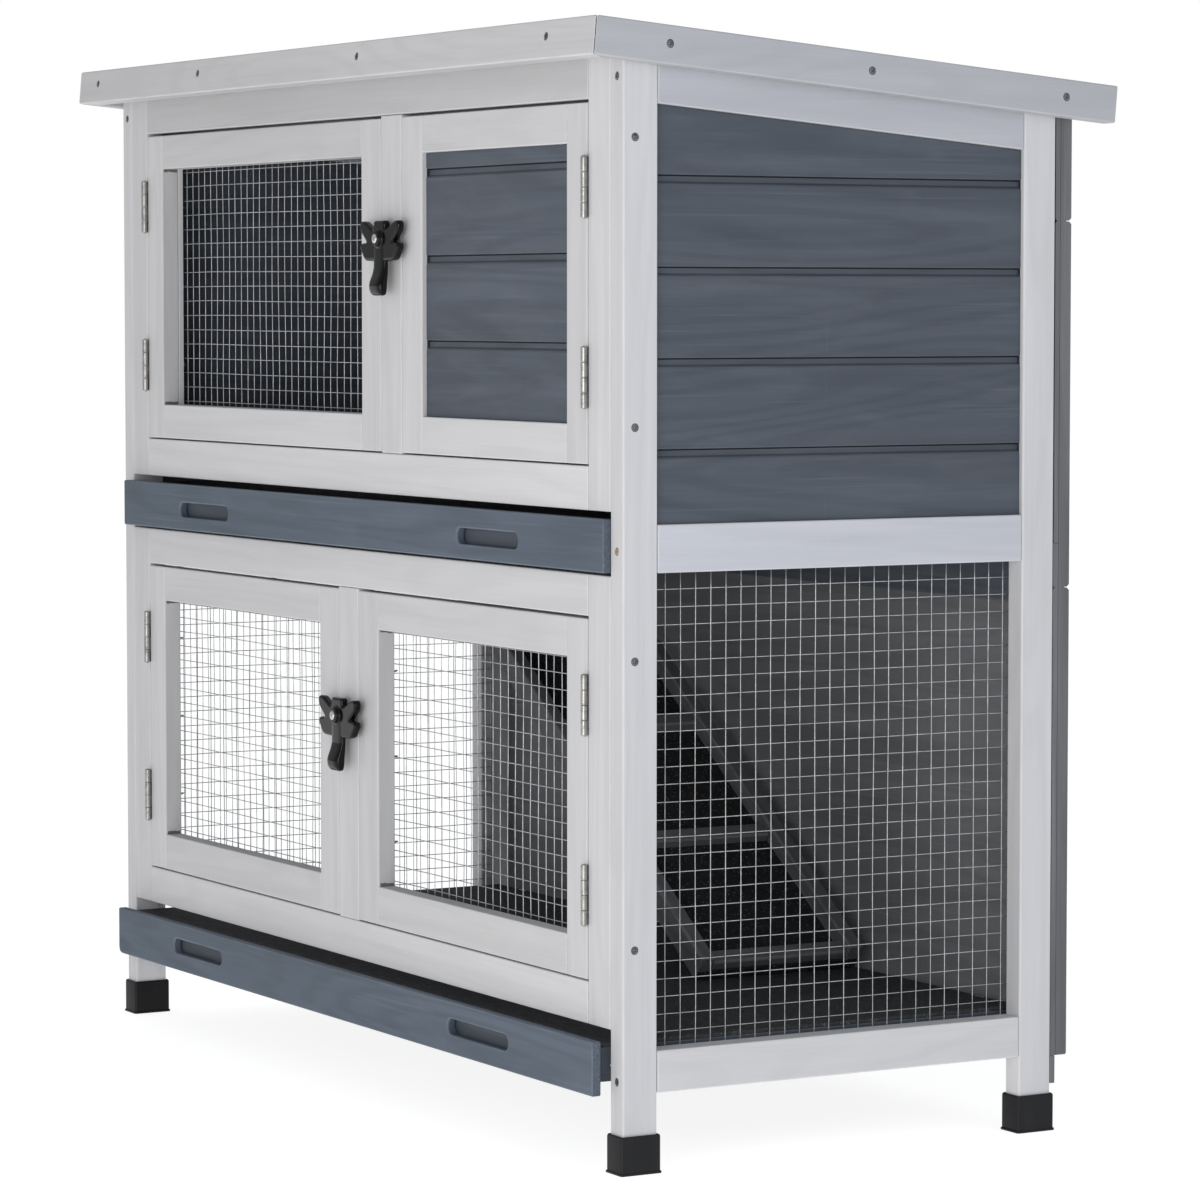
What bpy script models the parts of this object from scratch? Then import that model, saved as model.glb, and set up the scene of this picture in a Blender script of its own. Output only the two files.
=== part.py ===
"""Two-storey rabbit hutch, modelled piece by piece.

Metres, +Z up.  The front faces -Y, the origin lies on the floor under the
centre of the whole outline (the roof sets the outline).
"""
import math
import bpy
import bmesh
from mathutils import Matrix, Vector

# ----------------------------------------------------------------- dimensions
GAP = 0.0003                 # clearance between pieces that touch
HALF_W = 0.43335             # centre to the outer face of a leg
FRONT = -0.18955             # front face of the front legs
DEPTH = 0.3687               # front-leg front face to rear-leg rear face
BACK = FRONT + DEPTH
LEG_W, LEG_D = 0.018, 0.028  # leg section
PANEL_T = 0.015              # front frames and doors
STILE_W = 0.032              # outer stiles of the front frames
MULLION_W = 0.034

ROOF_SLOPE = 0.0874          # fall per metre towards the rear
ROOF_ANG = math.atan(ROOF_SLOPE)
ROOF_TOP = 0.8169            # top edge of the front trim
ROOF_FRONT = FRONT - 0.0315
ROOF_LEN = 0.4445 / math.cos(ROOF_ANG)
ROOF_HALF = 0.45005
TRIM_T, TRIM_H = 0.015, 0.0275
FELT_DROP, FELT_T, DECK_T = 0.001, 0.0015, 0.009

CAP_H, CAP_WALL = 0.028, 0.0018
FLANGE, FLANGE_H = 0.003, 0.0016
LEG_BOTTOM = 0.0025

BOT_RAIL = (0.0572, 0.0874)  # side rails, lower and upper edge
MID_RAIL = (0.4273, 0.4616)
TOP_RAIL_UNDER = 0.7577      # underside of the sloping rail at the front leg
LEDGE_W = 0.016
BOT_LEDGE = (0.0572, 0.0637)
MID_LEDGE = (0.4340, 0.4405)

CLAD_RECESS, CLAD_T = 0.004, 0.009
CLAD_GROOVES = (0.5117, 0.5760, 0.6405, 0.7052)
GROOVE_W, GROOVE_D = 0.006, 0.0025

UP_SILL = (0.4705, 0.5020)
UP_HEAD_UNDER = 0.7620
LOW_HEAD = (0.3950, 0.4250)
LOW_SILL = (0.1020, 0.1325)
UP_MULLION_X = 0.07585
LOW_MULLION_X = 0.0

UP_DOOR_Z = (0.5032, 0.7608)
LOW_DOOR_Z = (0.1337, 0.3940)
UP_OPEN_Z = (0.5316, 0.7315)
LOW_OPEN_Z = (0.1635, 0.3643)
HINGE_STILE, FREE_STILE = 0.030, 0.033
SEAM_FREE = 0.0010           # seam between a door and its mullion
SEAM_HINGE = 0.0015          # seam on the hinge side, holds the leaf
DOOR_PANEL_GROOVES = (0.5867, 0.6510, 0.7165)

MESH_T = 0.0036              # bar thickness in this simplified, coarser weave
MESH_PITCH = 0.0508
MESH_LAP = 0.010

KNUCKLE_R, KNUCKLE_L = 0.0025, 0.045
LEAF_T, LEAF_D = 0.0009, 0.012
AXIS_OUT = 0.0029            # hinge pin ahead of the front face
UP_HINGE_Z = (0.565, 0.700)
LOW_HINGE_Z = (0.195, 0.3315)

LATCH_UP_Z, LATCH_LOW_Z = 0.6672, 0.2943
LATCH_BACK, LATCH_T, BOSS_OUT, BOSS_R = 0.0052, 0.0054, 0.0140, 0.0062
HUB_BACK = 0.0009             # the hub stands this far off the frame
PIN_R = 0.0021

DRAWER_HALF = 0.4146
DRAWER_T = 0.0073
UP_DRAWER_Z = (0.4272, 0.4655)
LOW_DRAWER_Z = (0.0550, 0.0943)
UP_DRAWER_Y = FRONT - 0.0055  # front face of the board
LOW_DRAWER_Y = FRONT - 0.0155
SLOT_X, SLOT_L, SLOT_H = (-0.2525, 0.2420), 0.095, 0.012
TRAY_HALF_UP, TRAY_HALF_LOW = 0.4130, 0.4090
TRAY_T, TRAY_WALL = 0.0025, 0.004
UP_TRAY_Z = (0.4408, 0.4635)    # underside of the rails, top of the floor
LOW_TRAY_Z = (0.0640, 0.0918)
RAMP_HOLE_X = (-0.262, -0.080)
RAMP_HOLE_Y = (FRONT + 0.205, FRONT + 0.349)

BACK_T, TONGUE_T, TONGUE_W = 0.0145, 0.0045, 0.030
BACK_Z, TONGUE_Z = 0.056, 0.035
BACK_GROOVES = (0.4068, 0.6785)
REAR_LEDGE_Z, REAR_LEDGE_T = (0.3950, 0.4405), 0.015

RAMP_ANG = math.radians(35.7)
RAMP_Y = (FRONT + 0.205, FRONT + 0.3525)
RAMP_FOOT = (0.1776, 0.0925)  # x, z of the lower corner at the foot
RAMP_LEN, RAMP_T = 0.555, 0.009
RAMP_RAIL_W, RAMP_RAIL_H = 0.012, 0.022
CLEAT_W, CLEAT_H, CLEAT_STEP = 0.014, 0.008, 0.142

# ---------------------------------------------------------------------- setup
for _o in list(bpy.data.objects):
    bpy.data.objects.remove(_o, do_unlink=True)

parts = bpy.data.collections.new("rabbit_hutch")
bpy.context.scene.collection.children.link(parts)
cutters = bpy.data.collections.new("rabbit_hutch_cutters")
bpy.context.scene.collection.children.link(cutters)


def colour(name, rgb, rough, metal=0.0):
    m = bpy.data.materials.new(name)
    m.use_nodes = True
    b = m.node_tree.nodes["Principled BSDF"]
    b.inputs["Base Color"].default_value = (rgb[0], rgb[1], rgb[2], 1.0)
    b.inputs["Roughness"].default_value = rough
    b.inputs["Metallic"].default_value = metal
    m.diffuse_color = (rgb[0], rgb[1], rgb[2], 1.0)
    return m


WHITE = (0.72, 0.72, 0.73)
GREY = (0.105, 0.125, 0.145)
BLACK = (0.012, 0.012, 0.013)
STEEL = (0.62, 0.62, 0.60)
DARK = (0.030, 0.031, 0.034)


def obj_from_bm(bm, name, origin, rgb, rough, metal=0.0, smooth=False, coll=None):
    me = bpy.data.meshes.new(name)
    bmesh.ops.recalc_face_normals(bm, faces=bm.faces)
    if smooth:
        for f in bm.faces:
            f.smooth = True
    bm.to_mesh(me)
    bm.free()
    ob = bpy.data.objects.new(name, me)
    ob.location = origin
    (coll or parts).objects.link(ob)
    if coll is None:
        me.materials.append(colour(name + "_mat", rgb, rough, metal))
    return ob


def bevel(ob, width, seg=1):
    m = ob.modifiers.new("edge", 'BEVEL')
    m.width = width
    m.segments = seg
    m.limit_method = 'ANGLE'
    m.angle_limit = math.radians(35)
    return m


def cube_bm(lo, hi, origin=(0, 0, 0)):
    bm = bmesh.new()
    bmesh.ops.create_cube(bm, size=1.0)
    c = [(a + b) / 2 for a, b in zip(lo, hi)]
    s = [(b - a) for a, b in zip(lo, hi)]
    for v in bm.verts:
        v.co = Vector([c[i] + s[i] * v.co[i] - origin[i] for i in range(3)])
    return bm


def box(name, lo, hi, rgb, rough=0.6, metal=0.0, edge=0.0008, origin=(0, 0, 0)):
    """A plain board: a cube between two corners, arrises eased."""
    ob = obj_from_bm(cube_bm(lo, hi, origin), name, origin, rgb, rough, metal)
    if edge:
        bevel(ob, edge)
    return ob


def cutter(name, lo, hi, origin=(0, 0, 0)):
    ob = obj_from_bm(cube_bm(lo, hi, origin), name, origin, WHITE, 0.5, coll=cutters)
    ob.hide_render = True
    ob.display_type = 'WIRE'
    return ob


def cyl_bm(r, length, seg=20):
    bm = bmesh.new()
    bmesh.ops.create_cone(bm, cap_ends=True, cap_tris=False, segments=seg,
                          radius1=r, radius2=r, depth=length)
    return bm


def boolean(ob, other, op='DIFFERENCE'):
    m = ob.modifiers.new(other.name, 'BOOLEAN')
    m.operation = op
    m.solver = 'EXACT'
    m.object = other
    return m


def tool(bm, name, origin=(0, 0, 0), rot=None):
    """Register a helper solid that is joined to or cut from a piece."""
    ob = obj_from_bm(bm, name, origin, WHITE, 0.5, coll=cutters)
    if rot:
        ob.rotation_euler = rot
    ob.hide_render = True
    ob.display_type = 'WIRE'
    return ob


def under_deck(y):
    """Height of the roof deck's underside above a point y."""
    drop = (FELT_DROP + FELT_T + DECK_T) / math.cos(ROOF_ANG)
    return ROOF_TOP - ROOF_SLOPE * (y - ROOF_FRONT) - drop


def slope_top(ob, gap=GAP):
    """Cut the top of a board to the roof's fall by lowering its top corners."""
    top = max(v.co.z for v in ob.data.vertices)
    for v in ob.data.vertices:
        if v.co.z > top - 1e-6:
            v.co.z = under_deck(v.co.y + ob.location.y) - gap - ob.location.z


# ------------------------------------------------------------------ legs, feet
sides = (("left", -1), ("right", 1))
ends = (("front", FRONT, FRONT + LEG_D), ("rear", BACK - LEG_D, BACK))


def span(a, b):
    return (a, b) if a < b else (b, a)


for side, s in sides:
    x0, x1 = span(s * (HALF_W - LEG_W), s * HALF_W)
    for end, y0, y1 in ends:
        leg = box(f"{end}_{side}_leg", (x0, y0, LEG_BOTTOM), (x1, y1, 0.9), WHITE)
        slope_top(leg)
        w = CAP_WALL + GAP
        cap = box(f"{end}_{side}_foot_cap", (x0 - w, y0 - w, 0.0), (x1 + w, y1 + w, CAP_H),
                  BLACK, 0.45, edge=0)
        f = FLANGE
        flange = cutter(f"{end}_{side}_flange", (x0 - f, y0 - f, 0.0), (x1 + f, y1 + f, FLANGE_H))
        boolean(cap, flange, 'UNION')
        well = cutter(f"{end}_{side}_well", (x0 - GAP, y0 - GAP, LEG_BOTTOM - GAP),
                      (x1 + GAP, y1 + GAP, CAP_H + 0.01))
        boolean(cap, well)

# ------------------------------------------------------------------ side walls
for side, s in sides:
    xi, xo = HALF_W - LEG_W, HALF_W
    ya, yb = FRONT + LEG_D + GAP, BACK - LEG_D - GAP
    for tag, (z0, z1), (l0, l1) in (("bottom", BOT_RAIL, BOT_LEDGE),
                                    ("middle", MID_RAIL, MID_LEDGE)):
        a, b = span(s * xi, s * xo)
        rail = box(f"{side}_{tag}_rail", (a, ya, z0), (b, yb, z1), WHITE, edge=0)
        a, b = span(s * (xi - LEDGE_W), s * (xi + 0.004))
        ledge = cutter(f"{side}_{tag}_ledge", (a, ya, l0), (b, yb, l1))
        boolean(rail, ledge, 'UNION')
    # sloping rail under the roof
    a, b = span(s * xi, s * xo)
    rail = box(f"{side}_top_rail", (a, ya, TOP_RAIL_UNDER), (b, yb, 0.9), WHITE)
    slope_top(rail)
    for v in rail.data.vertices:
        if abs(v.co.z - TOP_RAIL_UNDER) < 1e-6:
            v.co.z -= ROOF_SLOPE * (v.co.y - ya)
    # boarded wall of the upper room
    a, b = span(s * (xo - CLAD_RECESS - CLAD_T), s * (xo - CLAD_RECESS))
    clad = box(f"{side}_upper_boards", (a, ya, MID_RAIL[1] + GAP), (b, yb, TOP_RAIL_UNDER - GAP),
               GREY, edge=0)
    for v in clad.data.vertices:
        if v.co.z > TOP_RAIL_UNDER - 0.001:
            v.co.z -= ROOF_SLOPE * (v.co.y - ya)
    for i, z in enumerate(CLAD_GROOVES):
        a, b = span(s * (xo - CLAD_RECESS - GROOVE_D), s * (xo + 0.01))
        boolean(clad, cutter(f"{side}_board_groove_{i}", (a, ya - 0.01, z - GROOVE_W / 2),
                             (b, yb + 0.01, z + GROOVE_W / 2)))


def wire_sheet(name, centre, size_u, size_v, axis, origin):
    """Welded wire sheet: a grid of wires, u along X or Y, v along Z."""
    nu = max(1, round(size_u / MESH_PITCH))
    nv = max(1, round(size_v / MESH_PITCH))
    bm = bmesh.new()
    bmesh.ops.create_grid(bm, x_segments=nu, y_segments=nv, size=0.5)
    for v in bm.verts:
        u, w = v.co.x * (size_u - MESH_T), v.co.y * (size_v - MESH_T)
        v.co = Vector((u, 0, w)) if axis == 'X' else Vector((0, u, w))
        v.co += Vector(centre) - Vector(origin)
    ob = obj_from_bm(bm, name, origin, STEEL, 0.35, 0.9)
    m = ob.modifiers.new("wires", 'WIREFRAME')
    m.thickness = MESH_T
    m.offset = 0.0
    m.use_boundary = True
    m.use_replace = True
    m.use_even_offset = True
    return ob


for side, s in sides:
    z0, z1 = BOT_RAIL[1] - 0.012, MID_LEDGE[0] - GAP
    x = s * (HALF_W - LEG_W - GAP - MESH_T / 2)
    wire_sheet(f"{side}_lower_wire_mesh", (x, (FRONT + BACK) / 2, (z0 + z1) / 2),
               DEPTH - 2 * 0.016, z1 - z0, 'Y', (0, 0, 0))

# ------------------------------------------------------------------ front frames
xs = HALF_W - LEG_W - GAP                 # outer edge of the front frames
xin = HALF_W - LEG_W - STILE_W            # inner edge of the outer stiles
yf, yb = FRONT, FRONT + PANEL_T


def pilot(ob, x, z, name):
    """Blind hole for the latch screw."""
    bm = cyl_bm(PIN_R + GAP, 0.022, 16)
    boolean(ob, tool(bm, name, (x, FRONT, z), (math.pi / 2, 0, 0)))


for side, s in sides:
    a, b = span(s * xin, s * xs)
    st = box(f"upper_frame_{side}_stile", (a, yf, UP_SILL[0]), (b, yb, 0.9), WHITE)
    slope_top(st)
    box(f"lower_frame_{side}_stile", (a, yf, LOW_SILL[0]), (b, yb, LOW_HEAD[1]), WHITE)
xr = xin - GAP
head = box("upper_frame_header", (-xr, yf, UP_HEAD_UNDER), (xr, yb, 0.9), WHITE)
slope_top(head)
box("upper_frame_sill", (-xr, yf, UP_SILL[0]), (xr, yb, UP_SILL[1]), WHITE)
box("lower_frame_header", (-xr, yf, LOW_HEAD[0]), (xr, yb, LOW_HEAD[1]), WHITE)
box("lower_frame_sill", (-xr, yf, LOW_SILL[0]), (xr, yb, LOW_SILL[1]), WHITE)
h = MULLION_W / 2
um = box("upper_frame_mullion", (UP_MULLION_X - h, yf, UP_SILL[1] + GAP),
         (UP_MULLION_X + h, yb, UP_HEAD_UNDER - GAP), WHITE, edge=0)
pilot(um, UP_MULLION_X, LATCH_UP_Z, "upper_pilot")
lm = box("lower_frame_mullion", (LOW_MULLION_X - h, yf, LOW_SILL[1] + GAP),
         (LOW_MULLION_X + h, yb, LOW_HEAD[0] - GAP), WHITE, edge=0)
pilot(lm, LOW_MULLION_X, LATCH_LOW_Z, "lower_pilot")

# ------------------------------------------------------------------------ doors
AX = xin - SEAM_HINGE / 2                 # distance of the hinge pins from the centre
pin_y = FRONT - AXIS_OUT

doors = (
    ("upper_left", -1, UP_MULLION_X - h - SEAM_FREE, UP_DOOR_Z, UP_OPEN_Z),
    ("upper_right", 1, UP_MULLION_X + h + SEAM_FREE, UP_DOOR_Z, UP_OPEN_Z),
    ("lower_left", -1, LOW_MULLION_X - h - SEAM_FREE, LOW_DOOR_Z, LOW_OPEN_Z),
    ("lower_right", 1, LOW_MULLION_X + h + SEAM_FREE, LOW_DOOR_Z, LOW_OPEN_Z),
)
for name, s, free_x, (z0, z1), (oz0, oz1) in doors:
    org = (s * AX, pin_y, (z0 + z1) / 2)
    hx = s * (xin - SEAM_HINGE)
    a, b = span(hx, free_x)
    oa, ob_ = span(hx - s * HINGE_STILE, free_x + s * FREE_STILE)
    fr = box(f"{name}_door_frame", (a, yf, z0), (b, yb, z1), WHITE, edge=0, origin=org)
    boolean(fr, cutter(f"{name}_door_hole", (oa, yf - 0.01, oz0), (ob_, yb + 0.01, oz1)))
    if name == "upper_right":
        pn = box(f"{name}_door_boards", (oa + GAP, yf + 0.004, oz0 + GAP),
                 (ob_ - GAP, yf + 0.013, oz1 - GAP), GREY, edge=0, origin=org)
        for i, z in enumerate(DOOR_PANEL_GROOVES):
            boolean(pn, cutter(f"{name}_groove_{i}", (oa - 0.01, yf - 0.01, z - GROOVE_W / 2),
                               (ob_ + 0.01, yf + 0.004 + GROOVE_D, z + GROOVE_W / 2)))
    else:
        wire_sheet(f"{name}_door_wire_mesh",
                   ((oa + ob_) / 2, yb + GAP + MESH_T / 2, (oz0 + oz1) / 2),
                   ob_ - oa + 2 * MESH_LAP, oz1 - oz0 + 2 * MESH_LAP, 'X', org)

# ----------------------------------------------------------------------- hinges
for tier, zs in (("upper", UP_HINGE_Z), ("lower", LOW_HINGE_Z)):
    for side, s in sides:
        for where, z in zip(("bottom", "top"), zs):
            bm = cyl_bm(KNUCKLE_R, KNUCKLE_L, 20)
            hg = obj_from_bm(bm, f"{tier}_{side}_door_{where}_hinge", (s * AX, pin_y, z),
                             STEEL, 0.3, 0.95, smooth=False)
            t = LEAF_T / 2
            leaf = cutter(f"{tier}_{side}_{where}_leaf",
                          (s * AX - t, pin_y, z - KNUCKLE_L / 2 + 0.0005),
                          (s * AX + t, FRONT + LEAF_D, z + KNUCKLE_L / 2 - 0.0005))
            boolean(hg, leaf, 'UNION')

# ---------------------------------------------------------------------- latches
# Wing outline about the pivot, right half; the left half mirrors it.
WING = ((0.0095, 0.0139), (0.0095, 0.0080), (0.0120, 0.0075), (0.0250, 0.0137),
        (0.0312, 0.0137), (0.0330, 0.0110), (0.0318, 0.0055), (0.0215, -0.0026),
        (0.0310, -0.0034), (0.0330, -0.0065), (0.0250, -0.0168), (0.0117, -0.0172))


def latch(tier, x, z):
    org = (x, FRONT, z)
    cu = bpy.data.curves.new(f"{tier}_latch_outline", 'CURVE')
    cu.dimensions = '2D'
    cu.fill_mode = 'BOTH'
    cu.extrude = LATCH_T / 2
    sp = cu.splines.new('POLY')
    pts = list(WING) + [(-px, pz) for px, pz in reversed(WING)]
    sp.points.add(len(pts) - 1)
    for p, (px, pz) in zip(sp.points, pts):
        p.co = (px, pz, 0, 1)
    sp.use_cyclic_u = True
    tmp = bpy.data.objects.new(f"{tier}_latch_outline", cu)
    cutters.objects.link(tmp)
    tmp.rotation_euler = (math.pi / 2, 0, 0)
    tmp.location = (x, FRONT - LATCH_BACK - LATCH_T / 2, z)
    bpy.context.view_layer.update()
    me = bpy.data.meshes.new_from_object(tmp)
    mw = tmp.matrix_world.copy()
    bpy.data.objects.remove(tmp, do_unlink=True)
    bm = bmesh.new()
    bm.from_mesh(me)
    bpy.data.meshes.remove(me)
    bm.transform(Matrix.Translation(-Vector(org)) @ mw)
    bmesh.ops.remove_doubles(bm, verts=bm.verts, dist=1e-6)
    wing = obj_from_bm(bm, f"{tier}_latch_button", org, BLACK, 0.22)
    # pivot boss
    r90 = (math.pi / 2, 0, 0)
    length = BOSS_OUT - HUB_BACK
    boss = tool(cyl_bm(BOSS_R, length, 24), f"{tier}_boss",
                (x, FRONT - HUB_BACK - length / 2, z), r90)
    boolean(wing, boss, 'UNION')
    # grip that hangs down and swells forwards at its end
    bm = cube_bm((-0.0096, -0.0113, -0.0436), (0.0096, -0.0061, -0.0060))
    bmesh.ops.bisect_plane(bm, geom=bm.verts[:] + bm.edges[:] + bm.faces[:],
                           plane_co=(0, 0, -0.0230), plane_no=(0, 0, 1))
    bmesh.ops.bisect_plane(bm, geom=bm.verts[:] + bm.edges[:] + bm.faces[:],
                           plane_co=(0, 0, -0.0360), plane_no=(0, 0, 1))
    for v in bm.verts:
        if v.co.y < -0.010:
            if v.co.z < -0.043:
                v.co.y -= 0.0022
            elif v.co.z < -0.035:
                v.co.y -= 0.0045
        elif v.co.z < -0.030:
            v.co.y -= 0.0009
    boolean(wing, tool(bm, f"{tier}_grip", org), 'UNION')
    boolean(wing, tool(cyl_bm(PIN_R + 0.0001, 0.05, 24), f"{tier}_bore", org, r90))
    # screw the latch turns on
    deep = 0.0100
    bm = cyl_bm(PIN_R, BOSS_OUT + GAP + deep + 0.0005, 24)
    pin = obj_from_bm(bm, f"{tier}_latch_screw",
                      (x, FRONT + (deep - BOSS_OUT - GAP - 0.0005) / 2, z), STEEL, 0.3, 0.9)
    pin.rotation_euler = r90
    hd = tool(cyl_bm(0.0037, 0.0012, 24), f"{tier}_screw_head",
              (x, FRONT - BOSS_OUT - GAP - 0.0006, z), r90)
    boolean(pin, hd, 'UNION')


latch("upper", UP_MULLION_X, LATCH_UP_Z)
latch("lower", LOW_MULLION_X, LATCH_LOW_Z)

# ---------------------------------------------------------------- pull-out trays


def drawer(tier, y0, zf, zt, half, rear, slot_dz, hole):
    """Front board with finger slots, and a floor board on rails behind it."""
    ft = box(f"{tier}_tray_front_board", (-DRAWER_HALF, y0, zf[0]),
             (DRAWER_HALF, y0 + DRAWER_T, zf[1]), GREY, edge=0)
    zc = (zf[0] + zf[1]) / 2 + slot_dz
    for (side, s), sx in zip(sides, SLOT_X):
        bm = cube_bm((sx - SLOT_L / 2, y0 - 0.01, zc - SLOT_H / 2),
                     (sx + SLOT_L / 2, y0 + DRAWER_T + 0.01, zc + SLOT_H / 2))
        upright = [e for e in bm.edges if abs(e.verts[0].co.y - e.verts[1].co.y) > 0.001]
        bmesh.ops.bevel(bm, geom=upright, offset=SLOT_H * 0.49, segments=5,
                        affect='EDGES', profile=0.5)
        boolean(ft, tool(bm, f"{tier}_{side}_finger_slot"))
    yb0 = y0 + DRAWER_T + GAP
    tr = box(f"{tier}_tray", (-half, yb0, zt[0]), (half, rear, zt[1]), DARK, 0.7, edge=0)
    w = TRAY_WALL
    low = zc - SLOT_H / 2 - 0.004         # the front rail closes the slots behind
    if low < zt[0]:
        boolean(tr, cutter(f"{tier}_front_rail", (-half, yb0, low), (half, yb0 + w, zt[0] + 0.002)),
                'UNION')
    boolean(tr, cutter(f"{tier}_tray_hollow", (-half + w, yb0 + w, zt[0] - 0.01),
                       (half - w, rear - w, zt[1] - TRAY_T)))
    if hole:
        boolean(tr, cutter(f"{tier}_ramp_hole", (RAMP_HOLE_X[0], RAMP_HOLE_Y[0], zt[1] - 0.01),
                           (RAMP_HOLE_X[1], RAMP_HOLE_Y[1], zt[1] + 0.01)))


drawer("upper", UP_DRAWER_Y, UP_DRAWER_Z, UP_TRAY_Z, TRAY_HALF_UP, FRONT + 0.3665, -0.0020, True)
drawer("lower", LOW_DRAWER_Y, LOW_DRAWER_Z, LOW_TRAY_Z, TRAY_HALF_LOW, FRONT + 0.3565, 0.0009,
       False)

# --------------------------------------------------------------------- rear wall
bw = box("back_panel", (-HALF_W, BACK + GAP, BACK_Z), (HALF_W, BACK + BACK_T, 0.9), GREY, edge=0)
slope_top(bw)
for side, s in sides:
    a, b = span(s * (HALF_W - TONGUE_W), s * HALF_W)
    boolean(bw, cutter(f"back_{side}_tongue", (a, BACK + GAP, TONGUE_Z),
                       (b, BACK + TONGUE_T, BACK_Z + 0.005)), 'UNION')
for i, z in enumerate(BACK_GROOVES):
    bm = cube_bm((-0.5, -0.0018, -0.0018), (0.5, 0.0018, 0.0018))
    boolean(bw, tool(bm, f"back_groove_{i}", (0, BACK + BACK_T, z), (math.pi / 4, 0, 0)))
box("rear_floor_ledge", (-HALF_W + LEG_W + GAP, BACK - REAR_LEDGE_T, REAR_LEDGE_Z[0]),
    (HALF_W - LEG_W - GAP, BACK, REAR_LEDGE_Z[1]), GREY)

# -------------------------------------------------------------------------- ramp
ramp_org = (RAMP_FOOT[0], 0.0, RAMP_FOOT[1])
rot = (0, RAMP_ANG, 0)                    # local -X runs uphill
rp = obj_from_bm(cube_bm((-RAMP_LEN, RAMP_Y[0], 0.0), (0.0, RAMP_Y[1], RAMP_T)),
                 "ramp", ramp_org, DARK, 0.75)
rp.rotation_euler = rot
for i, (a, b) in enumerate(((RAMP_Y[0] - 0.0005, RAMP_Y[0] + RAMP_RAIL_W),
                            (RAMP_Y[1] - RAMP_RAIL_W, RAMP_Y[1] + 0.0005))):
    boolean(rp, tool(cube_bm((-RAMP_LEN + 0.0005, a, 0.0005), (-0.0005, b, RAMP_RAIL_H)),
                     f"ramp_rail_{i}", ramp_org, rot), 'UNION')
d, i = 0.001, 0
while d < RAMP_LEN - CLEAT_W:
    boolean(rp, tool(cube_bm((-d - CLEAT_W, RAMP_Y[0] + 0.004, 0.002),
                             (-d, RAMP_Y[1] - 0.004, RAMP_T + CLEAT_H)),
                     f"ramp_cleat_{i}", ramp_org, rot), 'UNION')
    d += CLEAT_STEP
    i += 1

# -------------------------------------------------------------------------- roof
roof_org = (0.0, ROOF_FRONT, ROOF_TOP)
roof_rot = (-ROOF_ANG, 0, 0)


def roof_piece(name, lo, hi, rgb, rough, edge):
    ob = obj_from_bm(cube_bm(lo, hi), name, roof_org, rgb, rough)
    ob.rotation_euler = roof_rot
    if edge:
        bevel(ob, edge)
    return ob


inner = ROOF_HALF - TRIM_T
ft = roof_piece("roof_front_trim", (-ROOF_HALF, 0, -TRIM_H), (ROOF_HALF, TRIM_T, 0), WHITE, 0.6, 0.0012)
for v in ft.data.vertices:                # mitred ends
    if v.co.y > TRIM_T / 2:
        v.co.x = math.copysign(inner, v.co.x)
for side, s in sides:
    a, b = span(s * inner, s * ROOF_HALF)
    tr = roof_piece(f"roof_{side}_trim", (a, 0.0, -TRIM_H), (b, ROOF_LEN, 0), WHITE, 0.6, 0.0012)
    for v in tr.data.vertices:
        if v.co.y < TRIM_T / 2:
            v.co.y = (TRIM_T if abs(v.co.x) < inner + 1e-5 else 0.0) + 2 * GAP
e = 2 * GAP
roof_piece("roof_deck", (-inner + e, TRIM_T + e, -FELT_DROP - FELT_T - DECK_T),
           (inner - e, ROOF_LEN - 0.002, -FELT_DROP - FELT_T), WHITE, 0.7, 0)
roof_piece("roof_felt", (-inner + e, TRIM_T + e, -FELT_DROP - FELT_T + GAP),
           (inner - e, ROOF_LEN, -FELT_DROP), (0.045, 0.050, 0.052), 0.9, 0)
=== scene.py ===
import math
import random
import zlib

import bmesh
import bpy
from mathutils import Matrix, Vector


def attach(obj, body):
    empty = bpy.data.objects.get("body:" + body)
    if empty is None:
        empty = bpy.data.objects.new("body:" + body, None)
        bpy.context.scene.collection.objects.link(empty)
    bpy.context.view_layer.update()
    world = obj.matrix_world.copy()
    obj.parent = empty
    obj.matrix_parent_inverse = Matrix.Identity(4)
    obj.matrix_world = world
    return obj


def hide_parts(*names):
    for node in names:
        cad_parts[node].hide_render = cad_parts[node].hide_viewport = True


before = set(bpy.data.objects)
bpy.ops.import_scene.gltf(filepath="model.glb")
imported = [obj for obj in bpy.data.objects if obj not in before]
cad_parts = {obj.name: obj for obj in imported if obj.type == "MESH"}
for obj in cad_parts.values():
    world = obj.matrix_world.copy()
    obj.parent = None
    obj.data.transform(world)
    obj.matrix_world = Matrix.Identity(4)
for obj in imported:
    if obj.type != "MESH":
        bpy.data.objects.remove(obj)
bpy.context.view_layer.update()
scene = bpy.context.scene
rng = random.Random(7)

# ------------------------------------------------------------------ dimensions
GAP = 0.0003
HALF_W, FRONT, DEPTH = 0.43335, -0.18955, 0.3687
BACK = FRONT + DEPTH
LEG_W, LEG_D, PANEL_T = 0.018, 0.028, 0.015
ROOF_SLOPE = 0.0874
ROOF_ANG = math.atan(ROOF_SLOPE)
ROOF_TOP, ROOF_FRONT = 0.8169, FRONT - 0.0315
ROOF_LEN, ROOF_HALF = 0.4445 / math.cos(ROOF_ANG), 0.45005
TRIM_T, TRIM_H = 0.015, 0.0275
FELT_DROP, FELT_T, DECK_T = 0.001, 0.0015, 0.009
BOT_RAIL, MID_RAIL, TOP_RAIL_UNDER = (0.0572, 0.0874), (0.4273, 0.4616), 0.7577
BOT_LEDGE, MID_LEDGE, LEDGE_W = (0.0572, 0.0637), (0.4340, 0.4405), 0.016
CLAD_RECESS, CLAD_T = 0.004, 0.009
CLAD_GROOVES = (0.5117, 0.5760, 0.6405, 0.7052)
DOOR_PANEL_GROOVES = (0.5867, 0.6510, 0.7165)
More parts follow.
